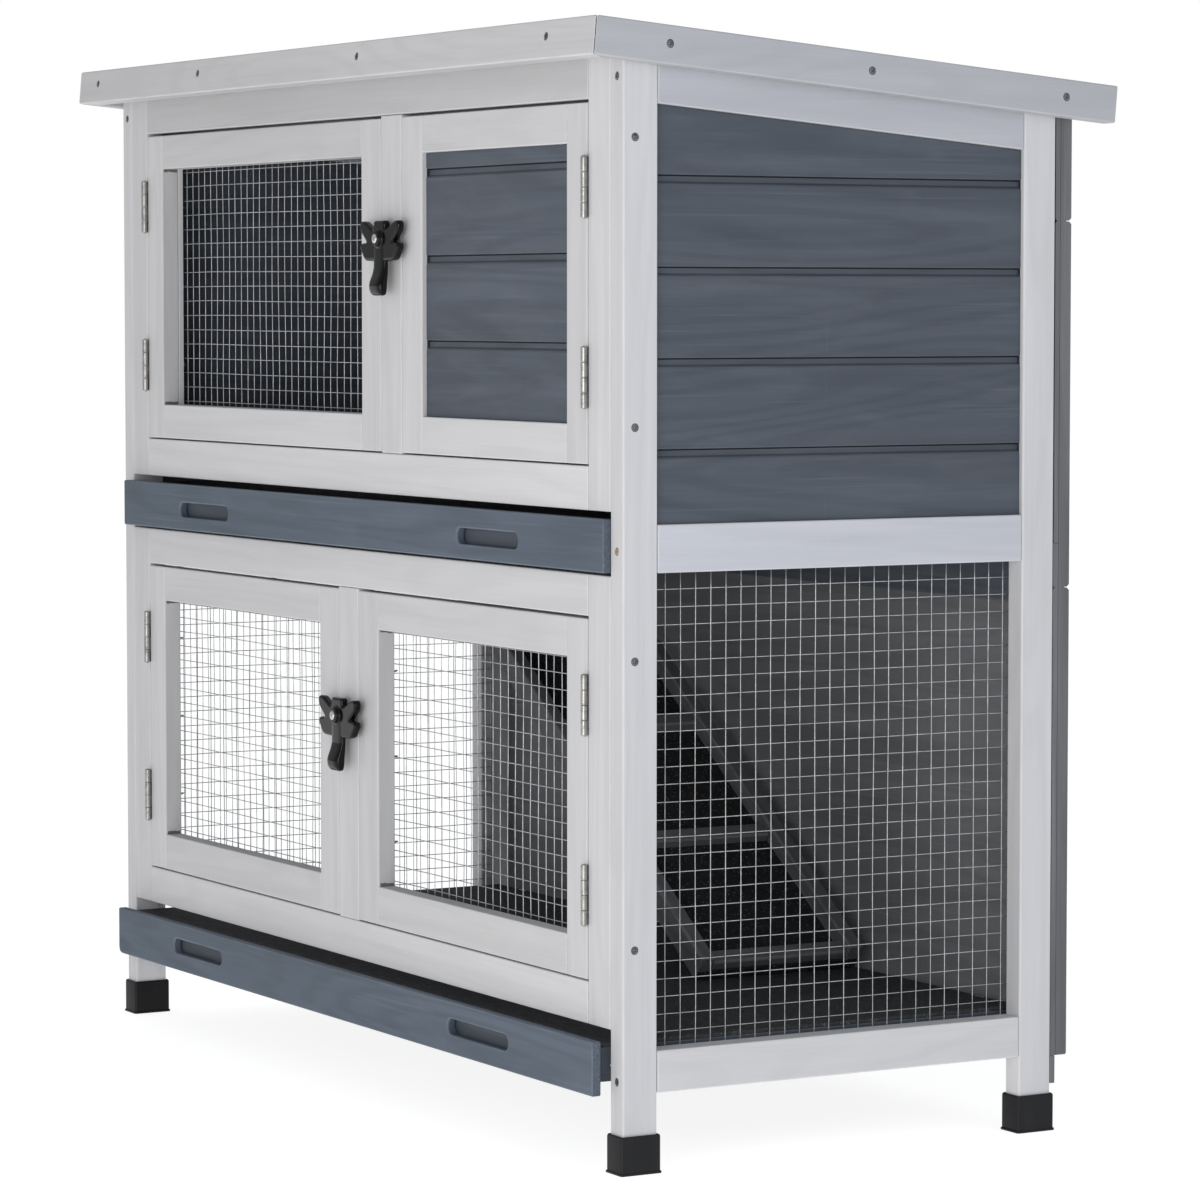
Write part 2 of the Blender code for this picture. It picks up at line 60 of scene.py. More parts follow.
BACK_GROOVES = (0.4068, 0.6785)
GROOVE_W, GROOVE_D = 0.006, 0.0025
UP_MULLION_X, LOW_MULLION_X, MULLION_W = 0.07585, 0.0, 0.034
UP_DOOR_Z, LOW_DOOR_Z = (0.5032, 0.7608), (0.1337, 0.3940)
UP_OPEN_Z, LOW_OPEN_Z = (0.5316, 0.7315), (0.1635, 0.3643)
HINGE_STILE, FREE_STILE, SEAM_FREE, SEAM_HINGE = 0.030, 0.033, 0.0010, 0.0015
XIN = HALF_W - LEG_W - 0.032
AX = XIN - SEAM_HINGE / 2
PIN_Y = FRONT - 0.0029
UP_HINGE_Z, LOW_HINGE_Z = (0.565, 0.700), (0.195, 0.3315)
LATCH_UP_Z, LATCH_LOW_Z = 0.6672, 0.2943
LATCH_BACK, LATCH_T, BOSS_OUT = 0.0052, 0.0054, 0.0140
DRAWER_HALF, DRAWER_T = 0.4146, 0.0073
UP_DRAWER_Z, LOW_DRAWER_Z = (0.4272, 0.4655), (0.0550, 0.0943)
UP_DRAWER_Y, LOW_DRAWER_Y = FRONT - 0.0055, FRONT - 0.0155
SLOT_X, SLOT_L, SLOT_H = (-0.2525, 0.2420), 0.095, 0.012
UP_TRAY_Z, LOW_TRAY_Z = (0.4408, 0.4635), (0.0640, 0.0918)
RAMP_HOLE_X, RAMP_HOLE_Y = (-0.262, -0.080), (FRONT + 0.205, FRONT + 0.349)
BACK_T, TONGUE_T, TONGUE_W, BACK_Z, TONGUE_Z = 0.0145, 0.0045, 0.030, 0.056, 0.035
RAMP_ANG, RAMP_Y = math.radians(35.7), (FRONT + 0.205, FRONT + 0.3525)
RAMP_FOOT, RAMP_LEN, RAMP_T = (0.1776, 0.0925), 0.555, 0.009
RAMP_RAIL_W, RAMP_RAIL_H = 0.012, 0.022
CLEAT_W, CLEAT_H, CLEAT_STEP = 0.014, 0.008, 0.142
AXI = {"X": 0, "Y": 1, "Z": 2}
SIDES = (("left", -1), ("right", 1))


def span(a, b):
    return (a, b) if a < b else (b, a)


def under_deck(y):
    drop = (FELT_DROP + FELT_T + DECK_T) / math.cos(ROOF_ANG)
    return ROOF_TOP - ROOF_SLOPE * (y - ROOF_FRONT) - drop


# ------------------------------------------------------------------- materials
class Nodes:
    """Short-hand for building one material's node tree."""

    def __init__(self, name):
        self.m = bpy.data.materials.new(name)
        self.m.use_nodes = True
        self.t = self.m.node_tree
        self.t.nodes.clear()
        self.out = self.t.nodes.new("ShaderNodeOutputMaterial")
        self.b = self.t.nodes.new("ShaderNodeBsdfPrincipled")
        self.t.links.new(self.b.outputs[0], self.out.inputs[0])
        self.obj = self.t.nodes.new("ShaderNodeTexCoord").outputs["Object"]

    def put(self, socket, v):
        if isinstance(v, bpy.types.NodeSocket):
            self.t.links.new(v, socket)
        elif isinstance(v, (tuple, list)) and len(v) == 3 and len(getattr(socket, "default_value", (0, 0, 0))) == 4:
            socket.default_value = (*v, 1.0)
        else:
            socket.default_value = v

    def math(self, op, a, b=0.0, c=None, clamp=False):
        n = self.t.nodes.new("ShaderNodeMath")
        n.operation, n.use_clamp = op, clamp
        self.put(n.inputs[0], a)
        self.put(n.inputs[1], b)
        if c is not None:
            self.put(n.inputs[2], c)
        return n.outputs[0]

    def scaled(self, scale, loc=(0, 0, 0), vec=None, rot=(0, 0, 0)):
        n = self.t.nodes.new("ShaderNodeMapping")
        self.put(n.inputs["Vector"], vec or self.obj)
        n.inputs["Scale"].default_value = scale
        n.inputs["Location"].default_value = loc
        n.inputs["Rotation"].default_value = rot
        return n.outputs[0]

    def noise(self, vec, scale=1.0, detail=3.0, rough=0.5, distort=0.0):
        n = self.t.nodes.new("ShaderNodeTexNoise")
        self.put(n.inputs["Vector"], vec)
        n.inputs["Scale"].default_value = scale
        n.inputs["Detail"].default_value = detail
        n.inputs["Roughness"].default_value = rough
        n.inputs["Distortion"].default_value = distort
        return n.outputs[0]

    def voronoi(self, vec, scale, feature="F1"):
        n = self.t.nodes.new("ShaderNodeTexVoronoi")
        n.feature = feature
        self.put(n.inputs["Vector"], vec)
        n.inputs["Scale"].default_value = scale
        return n

    def ramp(self, fac, *stops):
        """Piecewise-linear ramp: stops are (position, value or colour)."""
        n = self.t.nodes.new("ShaderNodeValToRGB")
        self.put(n.inputs[0], fac)
        e = n.color_ramp.elements
        while len(e) < len(stops):
            e.new(0.5)
        for el, (p, v) in zip(e, stops):
            el.position = p
            el.color = (*v, 1.0) if isinstance(v, (tuple, list)) else (v, v, v, 1.0)
        return n.outputs[0]

    def mix(self, fac, a, b, blend="MIX"):
        n = self.t.nodes.new("ShaderNodeMix")
        n.data_type, n.blend_type = "RGBA", blend
        self.put(n.inputs[0], fac)
        self.put(n.inputs[6], a)
        self.put(n.inputs[7], b)
        return n.outputs[2]

    def attr(self, name):
        n = self.t.nodes.new("ShaderNodeAttribute")
        n.attribute_name = name
        return n.outputs["Fac"]

    def bump(self, height, strength, distance):
        n = self.t.nodes.new("ShaderNodeBump")
        n.inputs["Strength"].default_value = strength
        n.inputs["Distance"].default_value = distance
        self.put(n.inputs["Height"], height)
        self.t.links.new(n.outputs[0], self.b.inputs["Normal"])

    def finish(self, colour, rough, metal=0.0, spec=0.5, coat=0.0):
        self.put(self.b.inputs["Base Color"], colour)
        self.put(self.b.inputs["Roughness"], rough)
        self.b.inputs["Metallic"].default_value = metal
        self.b.inputs["Specular IOR Level"].default_value = spec
        if coat:
            self.b.inputs["Coat Weight"].default_value = coat
            self.b.inputs["Coat Roughness"].default_value = 0.06
        return self.m


def along(axis, a, c):
    """Scale vector: a along the grain, c across it."""
    s = [c, c, c]
    s[AXI[axis]] = a
    return tuple(s)


PAINTS = {
    # light, dark, worn arris, bare wood, roughness, streak amount
    "white": ((0.640, 0.636, 0.645), (0.575, 0.571, 0.580), (0.700, 0.696, 0.700), 0.62),
    "grey": ((0.098, 0.115, 0.142), (0.074, 0.088, 0.111), (0.185, 0.205, 0.235), 0.66),
    "slate": ((0.100, 0.113, 0.134), (0.076, 0.087, 0.104), (0.150, 0.165, 0.190), 0.66),
    "drawer": ((0.110, 0.139, 0.178), (0.084, 0.107, 0.139), (0.200, 0.228, 0.265), 0.64),
    "ash": ((0.172, 0.175, 0.182), (0.132, 0.135, 0.141), (0.250, 0.253, 0.260), 0.66),
    "inner": ((0.205, 0.208, 0.218), (0.170, 0.173, 0.182), (0.250, 0.253, 0.262), 0.70),
    # painted shade: near-black copy of the lining paint, for the sleeping room lining and the groove seals
    "shade": ((0.044, 0.045, 0.047), (0.034, 0.035, 0.037), (0.070, 0.071, 0.074), 0.74),
    "cut": ((0.168, 0.173, 0.182), (0.118, 0.122, 0.130), (0.225, 0.230, 0.238), 0.70),
}


def painted(name, paint, axis, chip=None):
    """Water-based paint on softwood: brush streaks and raised fibres along the grain,
    growth rings, a few soft knots, arrises rubbed lighter, painted shade in the groove recesses where edge is
    negative.
    chip (centre and half size of an opening) stains the saw-cuts of its left jamb."""
    n = Nodes(name)
    light, dark, worn, rough = PAINTS[paint]
    warp = n.noise(n.scaled(along(axis, 1.2, 9.0)), 1.0, 2.0, 0.5)
    base = n.scaled(along(axis, 2.2, 62.0))
    bend = n.t.nodes.new("ShaderNodeVectorMath")
    bend.operation = "ADD"
    n.put(bend.inputs[0], base)
    n.put(bend.inputs[1], n.mix(0.45, (0.0, 0.0, 0.0), warp))
    broad = n.noise(bend.outputs[0], 1.0, 4.0, 0.55, 0.3)
    fibre = n.noise(n.scaled(along(axis, 16.0, 820.0)), 1.0, 3.0, 0.6)
    brush = n.noise(n.scaled(along(axis, 5.0, 330.0), (3.1, 1.7, 5.3)), 1.0, 2.0, 0.5)
    patch = n.noise(n.obj, 9.0, 2.0, 0.5)
    f = n.math("MULTIPLY_ADD", broad, 0.62, n.math("MULTIPLY", fibre, 0.22))
    f = n.math("ADD", f, n.math("MULTIPLY", patch, 0.16))
    col = n.mix(n.ramp(f, (0.36, 0.0), (0.64, 1.0)), light, dark)
    # growth rings: contour lines of a slow field, drawn out along the grain
    field = n.noise(n.scaled(along(axis, 1.5, 13.0), (0.7, 0.2, 0.4)), 1.0, 1.5, 0.4, 0.25)
    ring = n.math("SINE", n.math("MULTIPLY_ADD", field, 92.0, n.math("MULTIPLY", fibre, 1.6)))
    ring = n.ramp(n.math("MULTIPLY_ADD", ring, 0.5, 0.5), (0.45, 0.0), (0.95, 1.0))
    col = n.mix(n.math("MULTIPLY", ring, 0.17 if paint == "white" else 0.26), col,
                (0.50, 0.492, 0.492) if paint == "white" else tuple(c * 0.66 for c in dark))
    mott = n.noise(n.scaled(along(axis, 10.0, 42.0), (1.1, 0.4, 2.2)), 1.0, 3.0, 0.6, 0.5)
    col = n.mix(n.math("MULTIPLY", n.ramp(mott, (0.50, 0.0), (0.70, 1.0)), 0.13 if paint != "white" else 0.14), col, worn)
    lines = n.ramp(brush, (0.60, 0.0), (0.74, 1.0))
    col = n.mix(n.math("MULTIPLY", lines, 0.17 if paint == "white" else 0.30), col,
                (0.47, 0.46, 0.455) if paint == "white" else tuple(c * 1.5 for c in light))
    # raised, rubbed fibres catch a lighter tone on the dark paint
    rub = n.ramp(fibre, (0.66, 0.0), (0.82, 1.0))
    col = n.mix(n.math("MULTIPLY", rub, 0.20 if paint == "white" else 0.36), col, worn)
    knot = n.voronoi(n.scaled(along(axis, 3.3, 11.0), (0.3, 0.8, 0.1)), 1.0)
    ring = n.ramp(knot.outputs["Distance"], (0.0, 1.0), (0.075, 0.55), (0.16, 0.0))
    col = n.mix(n.math("MULTIPLY", ring, 0.10 if paint == "white" else 0.18), col,
                (0.40, 0.36, 0.31) if paint == "white" else tuple(c * 0.7 for c in dark))
    # painted shade: faces with a negative edge (groove slits and recessed bands) are darkened as if in shadow
    groove_shade = n.math("MULTIPLY", n.attr("edge"), -1.0, clamp=True)
    col = n.mix(n.math("MULTIPLY", groove_shade, 0.75), col, tuple(c * 0.32 for c in dark))
    # a few fine scratches across the board
    scr = n.noise(n.scaled(along(axis, 420.0, 7.0), (4.4, 2.2, 1.3)), 1.0, 2.0, 0.5)
    few = n.ramp(n.noise(n.obj, 5.0, 2.0, 0.5), (0.54, 0.0), (0.60, 1.0))
    col = n.mix(n.math("MULTIPLY", n.math("MULTIPLY", n.ramp(scr, (0.735, 0.0), (0.76, 1.0)), few), 0.18), col, worn)
    edge = n.math("MULTIPLY", n.math("MULTIPLY", n.attr("edge"), 1.0, clamp=True),
                  n.ramp(n.noise(n.scaled(along(axis, 24.0, 90.0)), 1.0, 3.0), (0.34, 0.25), (0.62, 1.0)))
    col = n.mix(n.math("MULTIPLY", edge, 0.75 if paint == "white" else 0.55), col, worn)
    # multiplies in the tone attribute: random board tone together with painted light and shade
    col = n.mix(1.0, col, n.math("ADD", n.attr("tone_and_painted_light"), 1.0), "MULTIPLY")
    if paint == "white":             # painted light: side faces take a blue cast, as of cool sky light falling on them
        col = n.mix(1.0, col, n.mix(n.attr("painted_skylight"), (1.0, 1.0, 1.0), (0.955, 0.985, 1.06)), "MULTIPLY")
    if chip:
        cx, cz, hx, hz = chip
        sep = n.t.nodes.new("ShaderNodeSeparateXYZ")
        n.put(sep.inputs[0], n.obj)
        fray = n.noise(n.scaled((300.0, 160.0, 520.0)), 1.0, 3.0, 0.6)
        u = n.math("ABSOLUTE", n.math("SUBTRACT", sep.outputs[0], cx - hx))
        v = n.math("ABSOLUTE", n.math("SUBTRACT", n.math("ABSOLUTE", n.math("SUBTRACT", sep.outputs[2], cz)), hz))
        w = n.math("ABSOLUTE", n.math("SUBTRACT", sep.outputs[1], FRONT + 0.0080))
        hit = n.math("MULTIPLY", n.math("LESS_THAN", u, 0.0009),
                     n.math("LESS_THAN", n.math("MULTIPLY_ADD", fray, 0.0030, v), 0.0040))
        hit = n.math("MULTIPLY", hit, n.math("LESS_THAN", n.math("MULTIPLY_ADD", fray, 0.0040, w), 0.0080))
        col = n.mix(n.math("MULTIPLY", hit, 0.82), col, (0.085, 0.060, 0.042))
    h = n.math("ADD", n.math("MULTIPLY", fibre, 0.65), n.math("MULTIPLY", broad, 0.55))
    n.bump(h, 0.34, 0.00035)
    r = n.math("MULTIPLY_ADD", brush, 0.14, rough - 0.07)
    return n.finish(col, r, spec=0.30)


def end_grain(name, paint):
    """Sawn end: growth arcs, open pores and pale torn fibres under thin paint."""
    n = Nodes(name)
    light, dark, worn, rough = PAINTS[paint]
    c = n.scaled((1.0, 1.0, 1.0), (0.03, 0.05, -0.02))
    arcs = n.noise(n.scaled((240.0, 240.0, 520.0)), 1.0, 2.0, 0.6, 1.2)
    pores = n.noise(c, 1500.0, 2.0, 0.7)
    col = n.mix(n.ramp(arcs, (0.32, 0.0), (0.66, 1.0)), light, dark)
    pale = (0.52, 0.50, 0.46) if paint != "white" else (0.72, 0.70, 0.66)
    col = n.mix(n.ramp(pores, (0.60, 0.0), (0.72, 0.75)), col, pale)
    col = n.mix(n.ramp(n.noise(c, 700.0, 2.0), (0.30, 0.55), (0.42, 0.0)), col, (0.05, 0.052, 0.056))
    n.bump(n.math("ADD", pores, arcs), 0.6, 0.0005)
    return n.finish(col, n.math("MULTIPLY_ADD", pores, 0.2, 0.68), spec=0.3)


def bare_wood(name, axis):
    n = Nodes(name)
    broad = n.noise(n.scaled(along(axis, 2.5, 85.0)), 1.0, 4.0, 0.6, 0.5)
    fibre = n.noise(n.scaled(along(axis, 20.0, 900.0)), 1.0, 2.0, 0.6)
    col = n.mix(n.ramp(broad, (0.3, 0.0), (0.7, 1.0)), (0.50, 0.36, 0.22), (0.36, 0.235, 0.13))
    col = n.mix(n.ramp(fibre, (0.55, 0.0), (0.8, 0.5)), col, (0.60, 0.47, 0.33))
    n.bump(n.math("ADD", fibre, broad), 0.4, 0.0004)
    return n.finish(col, n.math("MULTIPLY_ADD", fibre, 0.15, 0.6), spec=0.3)


def felted(name, painted_shade_scale=1.0):
    """Dark felt-faced board of the trays and ramp: black mat with pale mineral specks; a scale below 1 darkens the
    whole colour as painted shade (the ramp's copy).
    """
    n = Nodes(name)
    fine = n.noise(n.obj, 950.0, 3.0, 0.7)
    mid = n.noise(n.obj, 120.0, 3.0, 0.6)
    col = n.mix(n.ramp(mid, (0.35, 0.0), (0.65, 1.0)), tuple(painted_shade_scale * c for c in (0.040, 0.041, 0.044)),
                tuple(painted_shade_scale * c for c in (0.064, 0.066, 0.070)))
    cell = n.voronoi(n.obj, 620.0)
    speck = n.ramp(cell.outputs["Color"], (0.68, 0.0), (0.76, 1.0))
    near = n.ramp(cell.outputs["Distance"], (0.16, 1.0), (0.34, 0.0))
    col = n.mix(n.math("MULTIPLY", speck, near), col, (0.30, 0.30, 0.31))
    col = n.mix(n.ramp(fine, (0.62, 0.0), (0.78, 0.5)), col, (0.115, 0.118, 0.124))
    n.bump(n.math("ADD", fine, n.math("MULTIPLY", near, 0.5)), 0.7, 0.0006)
    return n.finish(col, n.math("MULTIPLY_ADD", fine, 0.15, 0.74), spec=0.3)


def mineral_felt(name):
    """Bitumen roofing felt with a crushed-slate finish."""
    n = Nodes(name)
    grit = n.voronoi(n.obj, 780.0)
    big = n.noise(n.obj, 7.0, 3.0, 0.55)
    fine = n.noise(n.obj, 700.0, 3.0, 0.7)
    col = n.mix(grit.outputs["Color"], (0.030, 0.034, 0.036), (0.120, 0.132, 0.138))
    col = n.mix(n.ramp(fine, (0.58, 0.0), (0.74, 0.6)), col, (0.215, 0.225, 0.228))
    col = n.mix(n.ramp(big, (0.40, 0.0), (0.72, 0.45)), col, (0.030, 0.032, 0.035))
    h = n.math("ADD", n.math("MULTIPLY", grit.outputs["Distance"], -0.8), fine)
    n.bump(h, 0.9, 0.0009)
    return n.finish(col, n.math("MULTIPLY_ADD", fine, 0.12, 0.82), spec=0.25)


def plywood_edge(name):
    n = Nodes(name)
    sep = n.t.nodes.new("ShaderNodeSeparateXYZ")
    n.put(sep.inputs[0], n.obj)
    wob = n.math("MULTIPLY_ADD", n.noise(n.scaled((25.0, 25.0, 4.0)), 1.0, 2.0), 0.0006, sep.outputs[2])
    ply = n.math("FRACT", n.math("MULTIPLY", wob, 330.0))
    col = n.mix(n.ramp(ply, (0.44, 0.0), (0.56, 1.0)), (0.55, 0.42, 0.28), (0.36, 0.245, 0.145))
    f = n.noise(n.scaled((30.0, 30.0, 900.0)), 1.0, 3.0, 0.6)
    col = n.mix(n.ramp(f, (0.55, 0.0), (0.75, 0.5)), col, (0.25, 0.165, 0.10))
    n.bump(n.math("ADD", f, ply), 0.5, 0.0004)
    return n.finish(col, n.math("MULTIPLY_ADD", f, 0.12, 0.66), spec=0.3)


def moulded(name, tint, rough, coat, bump, spec):
    """Injection-moulded plastic: fine spark texture, faint flow marks, handling scuffs."""
    n = Nodes(name)
    fine = n.noise(n.obj, 1600.0, 2.0, 0.6)
    flow = n.noise(n.scaled((40.0, 40.0, 12.0)), 1.0, 3.0, 0.5, 0.6)
    scuff = n.noise(n.scaled((260.0, 90.0, 320.0)), 1.0, 4.0, 0.65, 0.8)
    col = n.mix(n.ramp(flow, (0.35, 0.0), (0.70, 1.0)), tint, tuple(min(1, c * 1.5 + 0.002) for c in tint))
    mark = n.ramp(scuff, (0.66, 0.0), (0.78, 1.0))
    col = n.mix(n.math("MULTIPLY", mark, 0.35), col, tuple(c * 3.0 + 0.02 for c in tint))
    edge = n.math("MULTIPLY", n.attr("edge"), 0.5)
    col = n.mix(edge, col, tuple(c * 2.6 + 0.012 for c in tint))
    n.bump(fine, bump, 0.00012)
    r = n.math("ADD", n.math("MULTIPLY_ADD", flow, 0.10, rough - 0.05), n.math("MULTIPLY", mark, 0.12))
    return n.finish(col, r, spec=spec, coat=coat)


def zinc(name):
    """Hot-dip galvanised wire: spangle patches and dull oxide bloom."""
    n = Nodes(name)
    spangle = n.voronoi(n.obj, 420.0)
    bloom = n.noise(n.obj, 55.0, 3.0, 0.6)
    fine = n.noise(n.obj, 1400.0, 3.0, 0.65)
    col = n.mix(spangle.outputs["Color"], (0.46, 0.475, 0.485), (0.67, 0.68, 0.69))
    col = n.mix(n.ramp(bloom, (0.42, 0.0), (0.70, 0.8)), col, (0.36, 0.365, 0.37))
    n.bump(n.math("ADD", fine, n.math("MULTIPLY", spangle.outputs["Distance"], 0.4)), 0.5, 0.00012)
    return n.finish(col, n.math("MULTIPLY_ADD", bloom, 0.3, 0.28), metal=0.75)


def metal(name, tint, rough, dark=0.5, metallic=1.0):
    n = Nodes(name)
    brush = n.noise(n.scaled((900.0, 900.0, 60.0)), 1.0, 3.0, 0.6)
    stain = n.noise(n.obj, 240.0, 3.0, 0.6)
    col = n.mix(n.ramp(stain, (0.46, 0.0), (0.72, 1.0)), tint, tuple(c * dark for c in tint))
    n.bump(brush, 0.25, 0.00006)
    return n.finish(col, n.math("ADD", n.math("MULTIPLY", stain, 0.22), n.math("MULTIPLY_ADD", brush, 0.12, rough - 0.14)),
                    metal=metallic)


MAT = {}
for ax in "XYZ":
    MAT["white" + ax] = painted("white_timber_" + ax.lower(), "white", ax)
    MAT["grey" + ax] = painted("grey_boards_" + ax.lower(), "grey", ax)
    MAT["slate" + ax] = painted("rear_boards_" + ax.lower(), "slate", ax)
    MAT["ash" + ax] = painted("ash_battens_" + ax.lower(), "ash", ax)
MAT["whiteend"] = end_grain("white_timber_end", "white")
MAT["greyend"] = end_grain("grey_boards_end", "grey")
MAT["slateend"] = end_grain("rear_boards_end", "slate")
MAT["drawerend"] = end_grain("drawer_boards_end", "drawer")
MAT["ashend"] = end_grain("ash_battens_end", "ash")
MAT["drawerX"] = painted("drawer_boards_x", "drawer", "X")
MAT["innerX"] = painted("inner_lining_x", "inner", "X")
MAT["shadeX"] = painted("sleeping_room_lining_x", "shade", "X")
MAT["cutZ"] = painted("sawn_panel_edge_z", "cut", "Z")
MAT["bareX"] = bare_wood("bare_underside", "X")
MAT["felted"] = felted("felted_board")
# painted shade: the ramp gets a copy of the felted board darkened to 0.45
MAT["feltramp"] = felted("ramp_felted_board_painted_shade", 0.45)
MAT["felt"] = mineral_felt("roof_felt")
MAT["ply"] = plywood_edge("plywood_edge")
MAT["plastic"] = moulded("black_plastic", (0.0070, 0.0070, 0.0080), 0.50, 0.0, 0.35, 0.30)
MAT["gloss"] = moulded("gloss_black_plastic", (0.0014, 0.0014, 0.0016), 0.13, 0.0, 0.05, 0.24)
MAT["zinc"] = zinc("galvanised_wire")
MAT["nickel"] = metal("nickel_hinge", (0.42, 0.41, 0.39), 0.34, 0.60)
MAT["screw"] = metal("dark_screw", (0.165, 0.170, 0.180), 0.40, 0.5, 0.8)
MAT["amber"] = metal("zinc_yellow_screw", (0.52, 0.42, 0.31), 0.42, 0.6, 0.7)
MAT["bright"] = metal("bright_screw", (0.74, 0.73, 0.71), 0.26, 0.6)

# ------------------------------------------------------------- geometry helpers
made = []
LIGHT_AND_SHADE_BY_BOARD = {                             # painted light and shade per board: boards up under the roof and the roof trims darker, the sills and the door's bottom rail lighter, as light falls off towards the top
    "upper_head_rail": 0.86, "upper_left_door_top_rail": 0.93, "upper_sill_rail": 1.10,
    "upper_left_door_bottom_rail": 1.07, "lower_sill_rail": 1.10, "right_eaves_rail": 0.79,
    "left_eaves_rail": 0.85, "right_middle_side_rail": 0.95, "rear_right_leg_post": 1.01,
    "roof_right_fascia": 0.85, "roof_left_fascia": 0.87,
}
# painted light: how strongly each part's side faces take the blue sky cast, strongest higher up under the roof
SKYLIGHT_BY_PART = {"eaves_rail": 1.0, "middle_side_rail": 1.0, "fascia": 0.75, "leg_post": 0.25, "bottom_side_rail": 0.15}


def tone_of(name, amount=0.028):
    return ((zlib.crc32(name.encode()) % 1009) / 1008.0 - 0.5) * 2 * amount


def put_object(bm, name, mats, body, slot, repl=(), tone_and_painted_light=None, loc=(0, 0, 0), rot=None, keep_normals=False):
    """Finish a bmesh as a piece that rides on a body."""
    if not keep_normals:
        bmesh.ops.recalc_face_normals(bm, faces=bm.faces)
    lay = bm.faces.layers.float.get("tone_and_painted_light") or bm.faces.layers.float.new("tone_and_painted_light")
    # the tone attribute holds each board's random tone times its painted light and shade
    t = (1 + (tone_of(name) if tone_and_painted_light is None else tone_and_painted_light)) * LIGHT_AND_SHADE_BY_BOARD.get(name, 1.0) - 1
    painted_skylight = bm.faces.layers.float.get("painted_skylight") or bm.faces.layers.float.new("painted_skylight")
    bm.normal_update()
    for f in bm.faces:
        f[lay] = t
        # painted light: side faces (normal along x) of the listed parts are marked for the blue sky cast
        f[painted_skylight] = next((v for k, v in SKYLIGHT_BY_PART.items() if k in name), 0.0) if abs(f.normal.x) > 0.7 else 0.0
    me = bpy.data.meshes.new(name)
    bm.to_mesh(me)
    bm.free()
    for m in mats:
        me.materials.append(MAT[m] if isinstance(m, str) else m)
    ob = bpy.data.objects.new(name, me)
    scene.collection.objects.link(ob)
    ob.location = loc
    if rot:
        ob.rotation_euler = rot
    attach(ob, body)
    if repl:
        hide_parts(*([repl] if isinstance(repl, str) else repl))
    made.append(ob)
    return ob


def box_bm(lo, hi):
    bm = bmesh.new()
    bmesh.ops.create_cube(bm, size=1.0)
    for v in bm.verts:
        v.co = Vector([(lo[i] + hi[i]) / 2 + (hi[i] - lo[i]) * v.co[i] for i in range(3)])
    return bm


def ease_edges(bm, width, seg=2, angle=30.0):
    """Round every sharp edge and mark the new faces as worn arris."""
    lay = bm.faces.layers.float.get("edge") or bm.faces.layers.float.new("edge")
    bm.normal_update()
    sharp = [e for e in bm.edges if len(e.link_faces) == 2 and e.calc_face_angle(0) > math.radians(angle)]
    if not sharp or width <= 0:
        return
    r = bmesh.ops.bevel(bm, geom=sharp, offset=width, offset_type="OFFSET", segments=seg,
                        profile=0.5, affect="EDGES", clamp_overlap=True)
    for f in r["faces"]:
        f[lay] = 1.0
    bm.normal_update()


def mark_ends(bm, grain, index=1):
    i = AXI[grain]
    for f in bm.faces:
        if abs(f.normal[i]) > 0.75:
            f.material_index = index


def cut_pits(bm, pits):
    """Countersunk pits for screws: pits are (point on the surface, outward direction)."""
    if not pits:
        return bm
    me = bpy.data.meshes.new("pit_work")
    bm.to_mesh(me)
    bm.free()
    ob = bpy.data.objects.new("pit_work", me)
    scene.collection.objects.link(ob)
    cb = bmesh.new()
    for p, d in pits:
        q = Vector(d).normalized().to_track_quat("Z", "Y").to_matrix().to_4x4()
        mat = Matrix.Translation(Vector(p)) @ q
        bmesh.ops.create_cone(cb, cap_ends=True, segments=20, radius1=0.0030, radius2=0.00335,
                              depth=0.0018, matrix=mat)
    cm = bpy.data.meshes.new("pit_cut")
    cb.to_mesh(cm)
    cb.free()
    co = bpy.data.objects.new("pit_cut", cm)
    scene.collection.objects.link(co)
    md = ob.modifiers.new("pits", "BOOLEAN")
    md.operation, md.solver, md.object = "DIFFERENCE", "EXACT", co
    dg = bpy.context.evaluated_depsgraph_get()
    got = bpy.data.meshes.new_from_object(ob.evaluated_get(dg))
    out = bmesh.new()
    out.from_mesh(got)
    for o in (ob, co):
        bpy.data.objects.remove(o, do_unlink=True)
    for m in (me, cm, got):
        bpy.data.meshes.remove(m)
    return out


screws = {}


def add_screw(group, point, direction, sunk=0.00035, kind="screw"):
    screws.setdefault((group, kind), []).append((Vector(point), Vector(direction).normalized(), sunk))


def board(name, lo, hi, grain, paint="white", body="frame", slot="white_timber", ease=0.0011,
          repl=(), warp=None, pits=(), chip_mat=None, seg=2, tone_and_painted_light=None):
    bm = box_bm(lo, hi)
    if warp:
        for v in bm.verts:
            v.co = Vector(warp(v.co))
    ease_edges(bm, ease, seg)
    bm = cut_pits(bm, pits)
    bm.normal_update()
    mark_ends(bm, grain)
    for p, d in pits:
        add_screw(name, p, d, kind="amber" if d[1] < 0 and abs(p[2] - 0.4430) < 1e-6 else "screw")
    main = chip_mat or MAT[paint + grain]
    return put_object(bm, name, [main, MAT[paint + "end"]], body, slot, repl, tone_and_painted_light)


